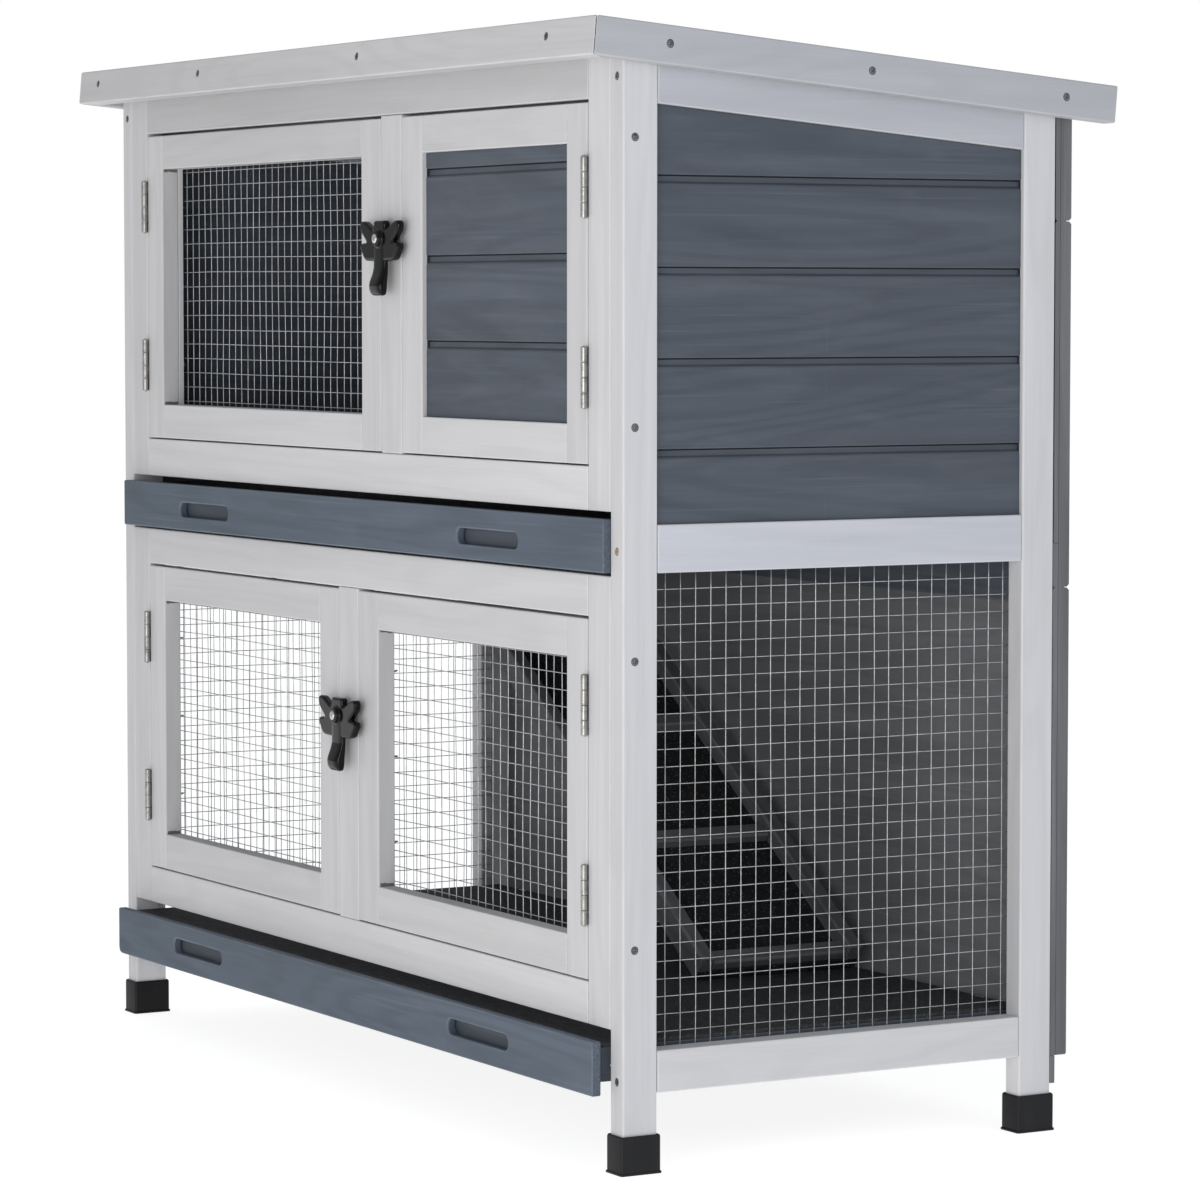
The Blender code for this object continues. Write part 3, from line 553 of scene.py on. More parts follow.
def prism(name, profile, axis, a0, a1, grain, mats, body, slot, repl=(), warp=None, tone_and_painted_light=None, pits=(),
          split=None):
    """Sweep a closed outline along an axis.  Profile points are (u, v, worn) where u, v are the
    two other axes in x, y, z order and worn marks the face that starts at the point: above zero a worn arris, below
    zero painted shade."""
    i = AXI[axis]
    others = [k for k in range(3) if k != i]
    bm = bmesh.new()
    lay = bm.faces.layers.float.new("edge")
    n = split or 1
    rings = []
    for k in range(n + 1):
        a = a0 + (a1 - a0) * k / n
        ring = []
        for u, v, _ in profile:
            p = [0, 0, 0]
            p[i], p[others[0]], p[others[1]] = a, u, v
            ring.append(bm.verts.new(warp(Vector(p)) if warp else p))
        rings.append(ring)
    m = len(profile)
    for r0, r1 in zip(rings, rings[1:]):
        for k in range(m):
            f = bm.faces.new((r0[k], r0[(k + 1) % m], r1[(k + 1) % m], r1[k]))
            f[lay] = profile[k][2]
    bm.faces.new(rings[0][::-1])
    bm.faces.new(rings[-1])
    bm = cut_pits(bm, pits)
    for p, d in pits:
        add_screw(name, p, d)
    bmesh.ops.recalc_face_normals(bm, faces=bm.faces)
    bm.normal_update()
    mark_ends(bm, grain)
    return put_object(bm, name, mats, body, slot, repl, tone_and_painted_light)


def loft(bm, loops, close_start=True, close_end=True, smooth=True, edge=0.0):
    """Skin closed loops of equal length into one shell."""
    lay = bm.faces.layers.float.get("edge") or bm.faces.layers.float.new("edge")
    vs = [[bm.verts.new(p) for p in loop] for loop in loops]
    n = len(loops[0])
    for a, b in zip(vs, vs[1:]):
        for k in range(n):
            f = bm.faces.new((a[k], a[(k + 1) % n], b[(k + 1) % n], b[k]))
            f.smooth = smooth
            f[lay] = edge
    if close_start:
        bm.faces.new(vs[0][::-1])
    if close_end:
        bm.faces.new(vs[-1])
    return vs


def lathe(bm, prof, seg, mat):
    """Turn (radius, height) points about local Z; ends close where the radius is 0."""
    loops, caps = [], []
    for r, h in prof:
        if r < 1e-9:
            caps.append((len(loops), mat @ Vector((0, 0, h))))
            continue
        loops.append([mat @ Vector((r * math.cos(2 * math.pi * k / seg), r * math.sin(2 * math.pi * k / seg), h))
                      for k in range(seg)])
    vs = [[bm.verts.new(p) for p in loop] for loop in loops]
    for a, b in zip(vs, vs[1:]):
        for k in range(seg):
            bm.faces.new((a[k], a[(k + 1) % seg], b[(k + 1) % seg], b[k])).smooth = True
    for at, p in caps:
        c = bm.verts.new(p)
        ring = vs[0] if at == 0 else vs[-1]
        for k in range(seg):
            q = (c, ring[(k + 1) % seg], ring[k]) if at == 0 else (c, ring[k], ring[(k + 1) % seg])
            bm.faces.new(q).smooth = True


def facing(p, d):
    """Matrix that puts local +Z along d at p."""
    return Matrix.Translation(Vector(p)) @ Vector(d).normalized().to_track_quat("Z", "Y").to_matrix().to_4x4()


def tube(bm, pts, r, sides=6, caps=True):
    pts = [Vector(p) for p in pts]
    loops = []
    ref = None
    for k, p in enumerate(pts):
        d = (pts[min(k + 1, len(pts) - 1)] - pts[max(k - 1, 0)]).normalized()
        if ref is None:
            ref = Vector((0, 0, 1)) if abs(d.z) < 0.8 else Vector((1, 0, 0))
        u = d.cross(ref).normalized()
        ref = u.cross(d).normalized()
        loops.append([p + r * (math.cos(2 * math.pi * j / sides) * u + math.sin(2 * math.pi * j / sides) * ref)
                      for j in range(sides)])
    loft(bm, loops, caps, caps)


def rounded(poly, r, seg=4):
    """Fillet every corner of a closed 2-D outline."""
    out = []
    n = len(poly)
    for k in range(n):
        v = Vector(poly[k])
        a, b = Vector(poly[k - 1]) - v, Vector(poly[(k + 1) % n]) - v
        rr = poly[k][2] if len(poly[k]) > 2 else r
        a, b, v = a.to_2d() if len(a) > 2 else a, b.to_2d() if len(b) > 2 else b, v.to_2d() if len(v) > 2 else v
        t = min(rr, 0.42 * a.length, 0.42 * b.length)
        p0, p1 = v + a.normalized() * t, v + b.normalized() * t
        for j in range(seg + 1):
            s = j / seg
            out.append((1 - s) ** 2 * p0 + 2 * s * (1 - s) * v + s * s * p1)
    return out


def inset(loop, d):
    """Move a closed 2-D loop inwards (counter-clockwise outline) by d."""
    n = len(loop)
    out = []
    for k in range(n):
        t0 = (loop[k] - loop[k - 1])
        t1 = (loop[(k + 1) % n] - loop[k])
        nr = Vector((0, 0))
        for t in (t0, t1):
            if t.length > 1e-9:
                t = t.normalized()
                nr += Vector((-t.y, t.x))
        if nr.length > 1e-9:
            nr.normalize()
        out.append(loop[k] + nr * d)
    return out


def fix_ccw(loop):
    a = sum(loop[k - 1].x * loop[k].y - loop[k].x * loop[k - 1].y for k in range(len(loop)))
    return loop if a > 0 else loop[::-1]


def slab(bm, outline, holes, y0, y1, ease, hole_ease=None, seg=3):
    """Plate in the XZ plane from y0 (front) to y1 (back), arrises rounded, with holes."""
    lay = bm.faces.layers.float.get("edge") or bm.faces.layers.float.new("edge")
    steps = [(1.0 - math.sin(math.pi / 2 * k / seg), 1.0 - math.cos(math.pi / 2 * k / seg)) for k in range(seg + 1)]
    fronts, backs = [], []
    for loop, sgn, e in [(fix_ccw(outline), 1, ease)] + [(fix_ccw(h), -1, hole_ease or ease) for h in holes]:
        rings = []
        for a, b in steps:           # a: how far in on the face, b: depth
            rings.append(([p for p in inset(loop, sgn * e * a)], y0 + e * b if False else y0 + e * (1 - math.sqrt(max(0.0, 1 - (1 - a) ** 2)) if False else b)))
        for a, b in reversed(steps):
            rings.append(([p for p in inset(loop, sgn * e * a)], y1 - e * b))
        vs = [[bm.verts.new((p.x, y, p.y)) for p in ring] for ring, y in rings]
        n = len(loop)
        half = len(steps) - 1
        for q, (r0, r1) in enumerate(zip(vs, vs[1:])):
            for k in range(n):
                f = bm.faces.new((r0[k], r0[(k + 1) % n], r1[(k + 1) % n], r1[k]))
                f.smooth = q != half
                f[lay] = 0.0 if q == half else 1.0
        fronts += [bm.edges.get((vs[0][k], vs[0][(k + 1) % n])) for k in range(n)]
        backs += [bm.edges.get((vs[-1][k], vs[-1][(k + 1) % n])) for k in range(n)]
    for edges in (fronts, backs):
        bmesh.ops.triangle_fill(bm, use_beauty=True, use_dissolve=False, edges=edges)
    bmesh.ops.recalc_face_normals(bm, faces=bm.faces)


# ------------------------------------------------------------------------ legs
for side, s in SIDES:
    x0, x1 = span(s * (HALF_W - LEG_W), s * HALF_W)
    for end, y0, y1 in (("front", FRONT, FRONT + LEG_D), ("rear", BACK - LEG_D, BACK)):
        pits = []
        yy = y0 + 0.0097 if end == "front" else y1 - 0.0097
        for z in (0.7338, 0.5304, 0.3654, 0.1604) if end == "front" else ():
            pits.append(((s * HALF_W, yy, z), (s, 0, 0)))
        if end == "front":
            for z in (0.7766, 0.4430, 0.0660):
                pits.append(((s * (HALF_W - 0.009), FRONT, z), (0, -1, 0)))
        board(f"{end}_{side}_leg_post", (x0, y0, 0.0025), (x1, y1, 0.9), "Z", pits=pits,
              repl=f"{end}_{side}_leg", ease=0.0013, seg=3,
              warp=lambda v: (v.x, v.y, under_deck(v.y) - GAP) if v.z > 0.85 else v)

        # moulded shoe: a closed cup with a foot flange and a softened rim
        def ring(off, z, r, x0=x0, x1=x1, y0=y0, y1=y1):
            a, b, c, d = x0 - off, x1 + off, y0 - off, y1 + off
            out = []
            for cx, cy, q in ((b - r, d - r, 0), (a + r, d - r, 1), (a + r, c + r, 2), (b - r, c + r, 3)):
                for k in range(5):
                    t = (q + k / 4) * math.pi / 2
                    out.append(Vector((cx + r * math.cos(t), cy + r * math.sin(t), z)))
            return out

        bm = bmesh.new()
        w = 0.0018 + GAP
        loft(bm, [ring(0.0026, 0.0, 0.0020), ring(0.0030, 0.0003, 0.0022), ring(0.0030, 0.0012, 0.0022),
                  ring(0.0028, 0.0016, 0.0020), ring(w + 0.0002, 0.0018, 0.0018), ring(w, 0.0024, 0.0016),
                  ring(w, 0.0266, 0.0016), ring(w - 0.0004, 0.0276, 0.0014), ring(w - 0.0009, 0.0280, 0.0011),
                  ring(w - 0.0013, 0.0277, 0.0008), ring(0.0003, 0.0270, 0.0006), ring(0.0003, 0.0022, 0.0006)])
        put_object(bm, f"{end}_{side}_shoe", ["plastic"], "frame", "black_plastic", f"{end}_{side}_foot_cap", 0.0)

# ------------------------------------------------------------------ side walls
YA, YB = FRONT + LEG_D + GAP, BACK - LEG_D - GAP


def fall(v):
    """Lower a point along the roof's fall, from the front leg."""
    return v.z - ROOF_SLOPE * (v.y - YA)


def shiplap(depth0, sign, thick, z0, z1, grooves, axis_depth):
    """Outline of lapped boards.  depth0: coordinate of the face, sign: outward direction.
    Returns points (depth, z, worn) with the face on the outside, from the top down; worn below zero is painted shade
    in the groove's slit and recessed band."""
    d = lambda q: depth0 - sign * q
    pts = [(d(thick), z1, 0), (d(0.0), z1, 0)]
    h = GROOVE_W / 2
    for g in sorted(grooves, reverse=True):
        # the slit and the recessed band get negative worn: painted shade in the groove
        pts += [(d(0.0), g + h + 0.0006, 0.6), (d(0.0006), g + h, -1), (d(GROOVE_D + 0.0018), g + h, -1),
                (d(GROOVE_D + 0.0018), g + h - 0.0009, -0.6), (d(GROOVE_D), g + h - 0.0011, -0.16),
                (d(GROOVE_D), g - h + 0.0011, -0.2), (d(0.0009), g - h - 0.0002, 0.6), (d(0.0), g - h - 0.0014, 0)]
    pts += [(d(0.0), z0, 0), (d(thick), z0, 0)]
    return pts


for side, s in SIDES:
    xo, xi = s * HALF_W, s * (HALF_W - LEG_W)
    for tag, (z0, z1), (l0, l1) in (("bottom", BOT_RAIL, BOT_LEDGE), ("middle", MID_RAIL, MID_LEDGE)):
        a, b = span(xi, xo)
        board(f"{side}_{tag}_side_rail", (a, YA, z0), (b, YB, z1), "Y", repl=f"{side}_{tag}_rail")
        a, b = span(s * (HALF_W - LEG_W - LEDGE_W), s * (HALF_W - LEG_W))
        board(f"{side}_{tag}_runner", (a, YA, l0), (b, YB, l1), "Y", ease=0.0006, seg=1)
    a, b = span(xi, xo)
    board(f"{side}_eaves_rail", (a, YA, TOP_RAIL_UNDER), (b, YB, 0.9), "Y", repl=f"{side}_top_rail",
          warp=lambda v: (v.x, v.y, under_deck(v.y) - GAP if v.z > 0.85 else fall(v)))
    prof = shiplap(s * (HALF_W - CLAD_RECESS), s, CLAD_T, MID_RAIL[1] + GAP, TOP_RAIL_UNDER - GAP, CLAD_GROOVES, "X")
    prism(f"{side}_shiplap_boards", prof, "Y", YA, YB, "Y", ["greyY", "greyend"], "frame", "grey_boards",
          f"{side}_upper_boards", tone_and_painted_light=-0.12, warp=lambda v: Vector((v.x, v.y, fall(v))) if v.z > TOP_RAIL_UNDER - 0.001 else v)
    # end seals that close the grooves against the legs, coloured near-black as painted shade
    a, b = span(s * (HALF_W - CLAD_RECESS - 0.0006), s * (HALF_W - CLAD_RECESS - CLAD_T + 0.0006))
    for tag, y in (("front", YA - 0.0002), ("rear", YB - 0.0004)):
        bm = box_bm((a, y, MID_RAIL[1] + 0.001), (b, y + 0.0006, fall(Vector((0, y, TOP_RAIL_UNDER - 0.001)))))
        put_object(bm, f"{side}_{tag}_groove_seal", ["shadeX"], "frame", "grey_boards", (), -0.2)


# ------------------------------------------------------------------- wire mesh
def weld_mesh(name, origin, u_dir, size_u, size_v, normal, body, repl, pitch=0.0121, r=0.00037, tilt=0.0, seed=1,
              lines=True):
    """Welded mesh: upright wires in front of cross wires, each a little out of true."""
    rg = random.Random(seed)
    u_dir, nrm, up = Vector(u_dir), Vector(normal), Vector((0, 0, 1))
    o = Vector(origin)
    bm = bmesh.new()
    nu, nv = int(round(size_u / pitch)), int(round(size_v / pitch))
    pu, pv = (size_u - 2 * r - 0.0008) / nu, (size_v - 2 * r - 0.0008) / nv
    bow = lambda t, a, ph: a * math.sin(math.pi * t + ph)
    amp_u = [rg.uniform(-0.00045, 0.00045) for _ in range(nu + 1)]
    amp_v = [rg.uniform(-0.00045, 0.00045) for _ in range(nv + 1)]
    ph_u = [rg.uniform(0, 6.28) for _ in range(nu + 1)]
    ph_v = [rg.uniform(0, 6.28) for _ in range(nv + 1)]
    wave = lambda u, v: 0.0005 * math.sin(u * 31 + seed) * math.sin(v * 27 + 2 * seed)

    def at(iu, iv, depth):
        u = -size_u / 2 + r + 0.0004 + pu * iu
        v = -size_v / 2 + r + 0.0004 + pv * iv
        fu, fv = iu / nu, iv / nv
        ke = min(1.0, 6 * min(fu, 1 - fu)) * min(1.0, 6 * min(fv, 1 - fv))
        du = ke * (amp_u[int(round(iu)) % (nu + 1)] * math.sin(5.0 * fv + ph_u[int(round(iu)) % (nu + 1)]) if iu == int(iu) else 0)
        dv = ke * (amp_v[int(round(iv)) % (nv + 1)] * math.sin(5.0 * fu + ph_v[int(round(iv)) % (nv + 1)]) if iv == int(iv) else 0)
        dv += tilt * (u) * ke
        return o + u_dir * (u + du) + up * (v + dv) + nrm * (depth + ke * wave(u, v))

    for iu in range(nu + 1):
        tube(bm, [at(iu, iv, 0.00045) for iv in range(0, nv + 1)], r, 6)
    for iv in range(nv + 1):
        tube(bm, [at(iu, iv, -0.00045) for iu in range(0, nu + 1)], r, 6)
    return put_object(bm, name, ["zinc"], body, "galvanised_wire", repl, 0.0, keep_normals=True)


for side, s in SIDES:
    weld_mesh(f"{side}_side_weld_mesh", (s * (HALF_W - LEG_W - GAP - 0.0018), (FRONT + BACK) / 2 + 0.00075, 0.24945),
              (0, 1, 0), 0.3307, 0.3568, (s, 0, 0), "frame", f"{side}_lower_wire_mesh",
              pitch=0.0127, r=0.00036, tilt=0.004 * s, seed=5 + s)

# ---------------------------------------------------------------- front frames
XS = HALF_W - LEG_W - GAP
YF, YR = FRONT, FRONT + PANEL_T
deck_top = lambda v: (v.x, v.y, under_deck(v.y) - GAP) if v.z > 0.85 else v
for side, s in SIDES:
    a, b = span(s * XIN, s * XS)
    board(f"upper_{side}_frame_stile", (a, YF, 0.4705), (b, YR, 0.9), "Z", repl=f"upper_frame_{side}_stile", warp=deck_top)
    board(f"lower_{side}_frame_stile", (a, YF, 0.1020), (b, YR, 0.4250), "Z", repl=f"lower_frame_{side}_stile")
XR = XIN - GAP
board("upper_head_rail", (-XR, YF, 0.7620), (XR, YR, 0.9), "X", repl="upper_frame_header", warp=deck_top)
board("upper_sill_rail", (-XR, YF, 0.4705), (XR, YR, 0.5020), "X", repl="upper_frame_sill")
board("lower_head_rail", (-XR, YF, 0.3950), (XR, YR, 0.4250), "X", repl="lower_frame_header")
board("lower_sill_rail", (-XR, YF, 0.1020), (XR, YR, 0.1325), "X", repl="lower_frame_sill")
for tier, mx, z0, z1 in (("upper", UP_MULLION_X, 0.5020, 0.7620), ("lower", LOW_MULLION_X, 0.1325, 0.3950)):
    board(f"{tier}_mullion_post", (mx - MULLION_W / 2, YF, z0 + GAP), (mx + MULLION_W / 2, YR, z1 - GAP), "Z",
          repl=f"{tier}_frame_mullion", ease=0.0009)

# ----------------------------------------------------------------------- doors
DOORS = (
    ("upper_left", -1, UP_MULLION_X - MULLION_W / 2 - SEAM_FREE, UP_DOOR_Z, UP_OPEN_Z),
    ("upper_right", 1, UP_MULLION_X + MULLION_W / 2 + SEAM_FREE, UP_DOOR_Z, UP_OPEN_Z),
    ("lower_left", -1, LOW_MULLION_X - MULLION_W / 2 - SEAM_FREE, LOW_DOOR_Z, LOW_OPEN_Z),
    ("lower_right", 1, LOW_MULLION_X + MULLION_W / 2 + SEAM_FREE, LOW_DOOR_Z, LOW_OPEN_Z),
)


def staple(bm, p, u, out, w=0.0075, h=0.0016, r=0.0005):
    """Wire staple pressed over a wire: p its centre, u its long direction, out away from the wood."""
    p, u, out = Vector(p), Vector(u).normalized(), Vector(out).normalized()
    pts = [p - u * w / 2 - out * 0.001, p - u * w / 2 + out * h * 0.8, p - u * w * 0.42 + out * h,
           p + u * w * 0.42 + out * h, p + u * w / 2 + out * h * 0.8, p + u * w / 2 - out * 0.001]
    tube(bm, pts, r, 6)


for name, s, free_x, (z0, z1), (oz0, oz1) in DOORS:
    body = f"{name}_door"
    hx = s * (XIN - SEAM_HINGE)
    a, b = span(hx, free_x)
    oa, ob_ = span(hx - s * HINGE_STILE, free_x + s * FREE_STILE)
    z1 -= 0.0010                     # planed a little short at the top
    chip = ((oa + ob_) / 2, (oz0 + oz1) / 2, (ob_ - oa) / 2, (oz1 - oz0) / 2) if name != "upper_right" else None
    back = 0.0045 if name == "upper_left" else 0.0
    cz_ = painted(f"{name}_door_timber_z", "white", "Z", chip)
    cx_ = painted(f"{name}_door_timber_x", "white", "X", chip)
    kw = dict(body=body, ease=0.0010)
    board(f"{name}_door_left_stile", (a, YF, z0), (oa, YR, z1), "Z", chip_mat=cz_, repl=f"{name}_door_frame", **kw)
    board(f"{name}_door_right_stile", (ob_, YF, z0), (b, YR, z1), "Z", chip_mat=cz_, **kw)
    board(f"{name}_door_top_rail", (oa + 0.0001, YF, oz1), (ob_ - 0.0001, YR, z1), "X", chip_mat=cx_, **kw)
    board(f"{name}_door_bottom_rail", (oa + 0.0001, YF, z0), (ob_ - 0.0001, YR, oz0), "X", chip_mat=cx_, **kw)
    if name == "upper_right":
        prof = shiplap(YF + 0.004, -1, 0.009, oz0 + GAP, oz1 - GAP, DOOR_PANEL_GROOVES, "Y")
        prism(f"{name}_door_shiplap", prof, "X", oa + GAP, ob_ - GAP, "X", ["greyX", "greyend"], body,
              "grey_boards", f"{name}_door_boards")
        # near-black seals closing the groove ends of the door boards: painted shade
        for tag, x in (("left", oa + GAP - 0.0002), ("right", ob_ - GAP - 0.0004)):
            bm = box_bm((x, YF + 0.0046, oz0 + 0.001), (x + 0.0006, YF + 0.0124, oz1 - 0.001))
            put_object(bm, f"{name}_door_{tag}_groove_seal", ["shadeX"], body, "grey_boards", (), -0.2)
    else:
        if back:                     # bead that holds the sheet further in
            for tag, lo, hi in (("left", (oa - 0.009, oz0 - 0.009), (oa, oz1 + 0.009)),
                                ("right", (ob_, oz0 - 0.009), (ob_ + 0.009, oz1 + 0.009)),
                                ("top", (oa + 0.0001, oz1), (ob_ - 0.0001, oz1 + 0.009)),
                                ("bottom", (oa + 0.0001, oz0 - 0.009), (ob_ - 0.0001, oz0))):
                board(f"{name}_door_{tag}_bead", (lo[0], YR + 0.0001, lo[1]), (hi[0], YR + back, hi[1]),
                      "Z" if tag in ("left", "right") else "X", body=body, ease=0.0004, seg=1)
        weld_mesh(f"{name}_door_weld_mesh", ((oa + ob_) / 2, YR + back + GAP + 0.0018, (oz0 + oz1) / 2), (1, 0, 0),
                  ob_ - oa + 0.020, oz1 - oz0 + 0.020, (0, 1, 0), body, f"{name}_door_wire_mesh",
                  tilt=-0.0035, seed=11 + len(name) + (3 if s > 0 else 0))
        bm = bmesh.new()
        for zz in (oz0 - 0.006, oz1 + 0.006):
            for k in range(5):
                xx = oa + (ob_ - oa) * (k + 0.5) / 5
                staple(bm, (xx, YR + back, zz), (0.3, 0, 1), (0, 1, 0), h=0.0035)
        for xx in (oa - 0.006, ob_ + 0.006):
            for k in range(3):
                zz = oz0 + (oz1 - oz0) * (k + 0.5) / 3
                staple(bm, (xx, YR + back, zz), (1, 0, 0.3), (0, 1, 0), h=0.0035)
        put_object(bm, f"{name}_door_staples", ["bright"], body, "hardware", (), 0.0, keep_normals=True)

# ---------------------------------------------------------------------- hinges
for tier, zs in (("upper", UP_HINGE_Z), ("lower", LOW_HINGE_Z)):
    for side, s in SIDES:
        for where, z in zip(("bottom", "top"), zs):
            L, n, gap, R = 0.045, 4, 0.00036, 0.0025
            seg = (L - 0.0012) / n
            base = z - L / 2 + 0.0006
            fb, db = bmesh.new(), bmesh.new()
            for k in range(n):
                bm = fb if k % 2 == 0 else db
                h0, h1 = base + k * seg + gap / 2, base + (k + 1) * seg - gap / 2
                lathe(bm, ((0.0, h0), (0.0022, h0), (R - 0.00008, h0 + 0.00002), (R, h0 + 0.00012), (R, h0 + 0.0006),
                           (R, h1 - 0.0006), (R, h1 - 0.00012), (R - 0.00008, h1 - 0.00002), (0.0022, h1), (0.0, h1)),
                      22, Matrix.Translation((s * AX, PIN_Y, 0)))
            # pin with slightly domed heads
            lathe(fb, ((0.0, z - L / 2), (0.0012, z - L / 2 + 0.0001), (0.0015, z - L / 2 + 0.0006),
                       (0.0015, z + L / 2 - 0.0006), (0.0012, z + L / 2 - 0.0001), (0.0, z + L / 2)), 14,
                  Matrix.Translation((s * AX, PIN_Y, 0)))

            def leaf(bm, xa, xb, own):
                """Hinge leaf in the seam, cut away beside the other leaf's knuckles."""
                ya, y1 = FRONT + 0.0012, FRONT + 0.012
                xa, xb = span(xa, xb)
                pts = [(y1, base), (y1, base + n * seg)]
                for k in reversed(range(n)):
                    t0, t1 = base + k * seg + 0.0002, base + (k + 1) * seg - 0.0002
                    yk = PIN_Y + 0.0006 if k % 2 == own else ya
                    pts += [(yk, t1), (yk, t0)]
                lo_ = [bm.verts.new((xa, p[0], p[1])) for p in pts]
                hi_ = [bm.verts.new((xb, p[0], p[1])) for p in pts]
                m = len(pts)
                for k in range(m):
                    bm.faces.new((lo_[k], lo_[(k + 1) % m], hi_[(k + 1) % m], hi_[k]))
                bm.faces.new(lo_[::-1])
                bm.faces.new(hi_)

            leaf(fb, s * (AX + 0.00012), s * (AX + 0.00066), 0)
            leaf(db, s * (AX - 0.00066), s * (AX - 0.00012), 1)
            nm = f"{tier}_{side}_{where}"
            put_object(fb, f"{nm}_hinge_frame_leaf", ["nickel"], "frame", "hardware",
                       f"{tier}_{side}_door_{where}_hinge", 0.0)
            put_object(db, f"{nm}_hinge_door_leaf", ["nickel"], f"{tier}_{side}_door", "hardware", (), 0.0)

# --------------------------------------------------------------------- latches
WING = ((0.0092, 0.0139, 0.0030), (0.0090, 0.0074, 0.0010), (0.0118, 0.0070, 0.0010), (0.0250, 0.0137, 0.0040),
        (0.0312, 0.0137, 0.0030), (0.0330, 0.0110, 0.0030), (0.0318, 0.0055, 0.0030), (0.0215, -0.0026, 0.0008),
        (0.0310, -0.0034, 0.0020), (0.0330, -0.0065, 0.0030), (0.0250, -0.0168, 0.0040), (0.0117, -0.0172, 0.0030))


def moulding(bm, voxel, rounds):
    """Fuse overlapping closed shells into one soft-edged moulding."""
    bmesh.ops.recalc_face_normals(bm, faces=bm.faces)
    me = bpy.data.meshes.new("mould_work")
    bm.to_mesh(me)
    bm.free()
    ob = bpy.data.objects.new("mould_work", me)
    scene.collection.objects.link(ob)
    rm = ob.modifiers.new("fuse", "REMESH")
    rm.mode, rm.voxel_size, rm.adaptivity = "VOXEL", voxel, 0.0
    sm = ob.modifiers.new("soften", "SMOOTH")
    sm.factor, sm.iterations = 0.5, rounds
    dg = bpy.context.evaluated_depsgraph_get()
    got = bpy.data.meshes.new_from_object(ob.evaluated_get(dg))
    out = bmesh.new()
    out.from_mesh(got)
    bpy.data.objects.remove(ob, do_unlink=True)
    for m in (me, got):
        bpy.data.meshes.remove(m)
    for f in out.faces:
        f.smooth = True
    return out


def cross_cut(bm, mat, size, depth):
    """Phillips recess: two tapered slots cut into a head."""
    me = bpy.data.meshes.new("head_work")
    bm.to_mesh(me)
    bm.free()
    ob = bpy.data.objects.new("head_work", me)
    scene.collection.objects.link(ob)
    cb = bmesh.new()
    for ang in (0.0, math.pi / 2):
        part = bmesh.new()
        bmesh.ops.create_cube(part, size=1.0)
        for v in part.verts:
            low = v.co.z < 0
            v.co = Vector((v.co.x * size * (1.1 if low else 2.0), v.co.y * size * (0.30 if low else 0.44),
                           (-depth if low else depth)))
        part.transform(mat @ Matrix.Rotation(ang + 0.5, 4, "Z"))
        tmp = bpy.data.meshes.new("slot")
        part.to_mesh(tmp)
        part.free()
        cb.from_mesh(tmp)
        bpy.data.meshes.remove(tmp)
    cm = bpy.data.meshes.new("head_cut")
    cb.to_mesh(cm)
    cb.free()
    co = bpy.data.objects.new("head_cut", cm)
    scene.collection.objects.link(co)
    md = ob.modifiers.new("cross", "BOOLEAN")
    md.operation, md.solver, md.object, md.use_self = "DIFFERENCE", "EXACT", co, True
    dg = bpy.context.evaluated_depsgraph_get()
    got = bpy.data.meshes.new_from_object(ob.evaluated_get(dg))
    out = bmesh.new()
    out.from_mesh(got)
    for o in (ob, co):
        bpy.data.objects.remove(o, do_unlink=True)
    for m in (me, cm, got):
        bpy.data.meshes.remove(m)
    return out


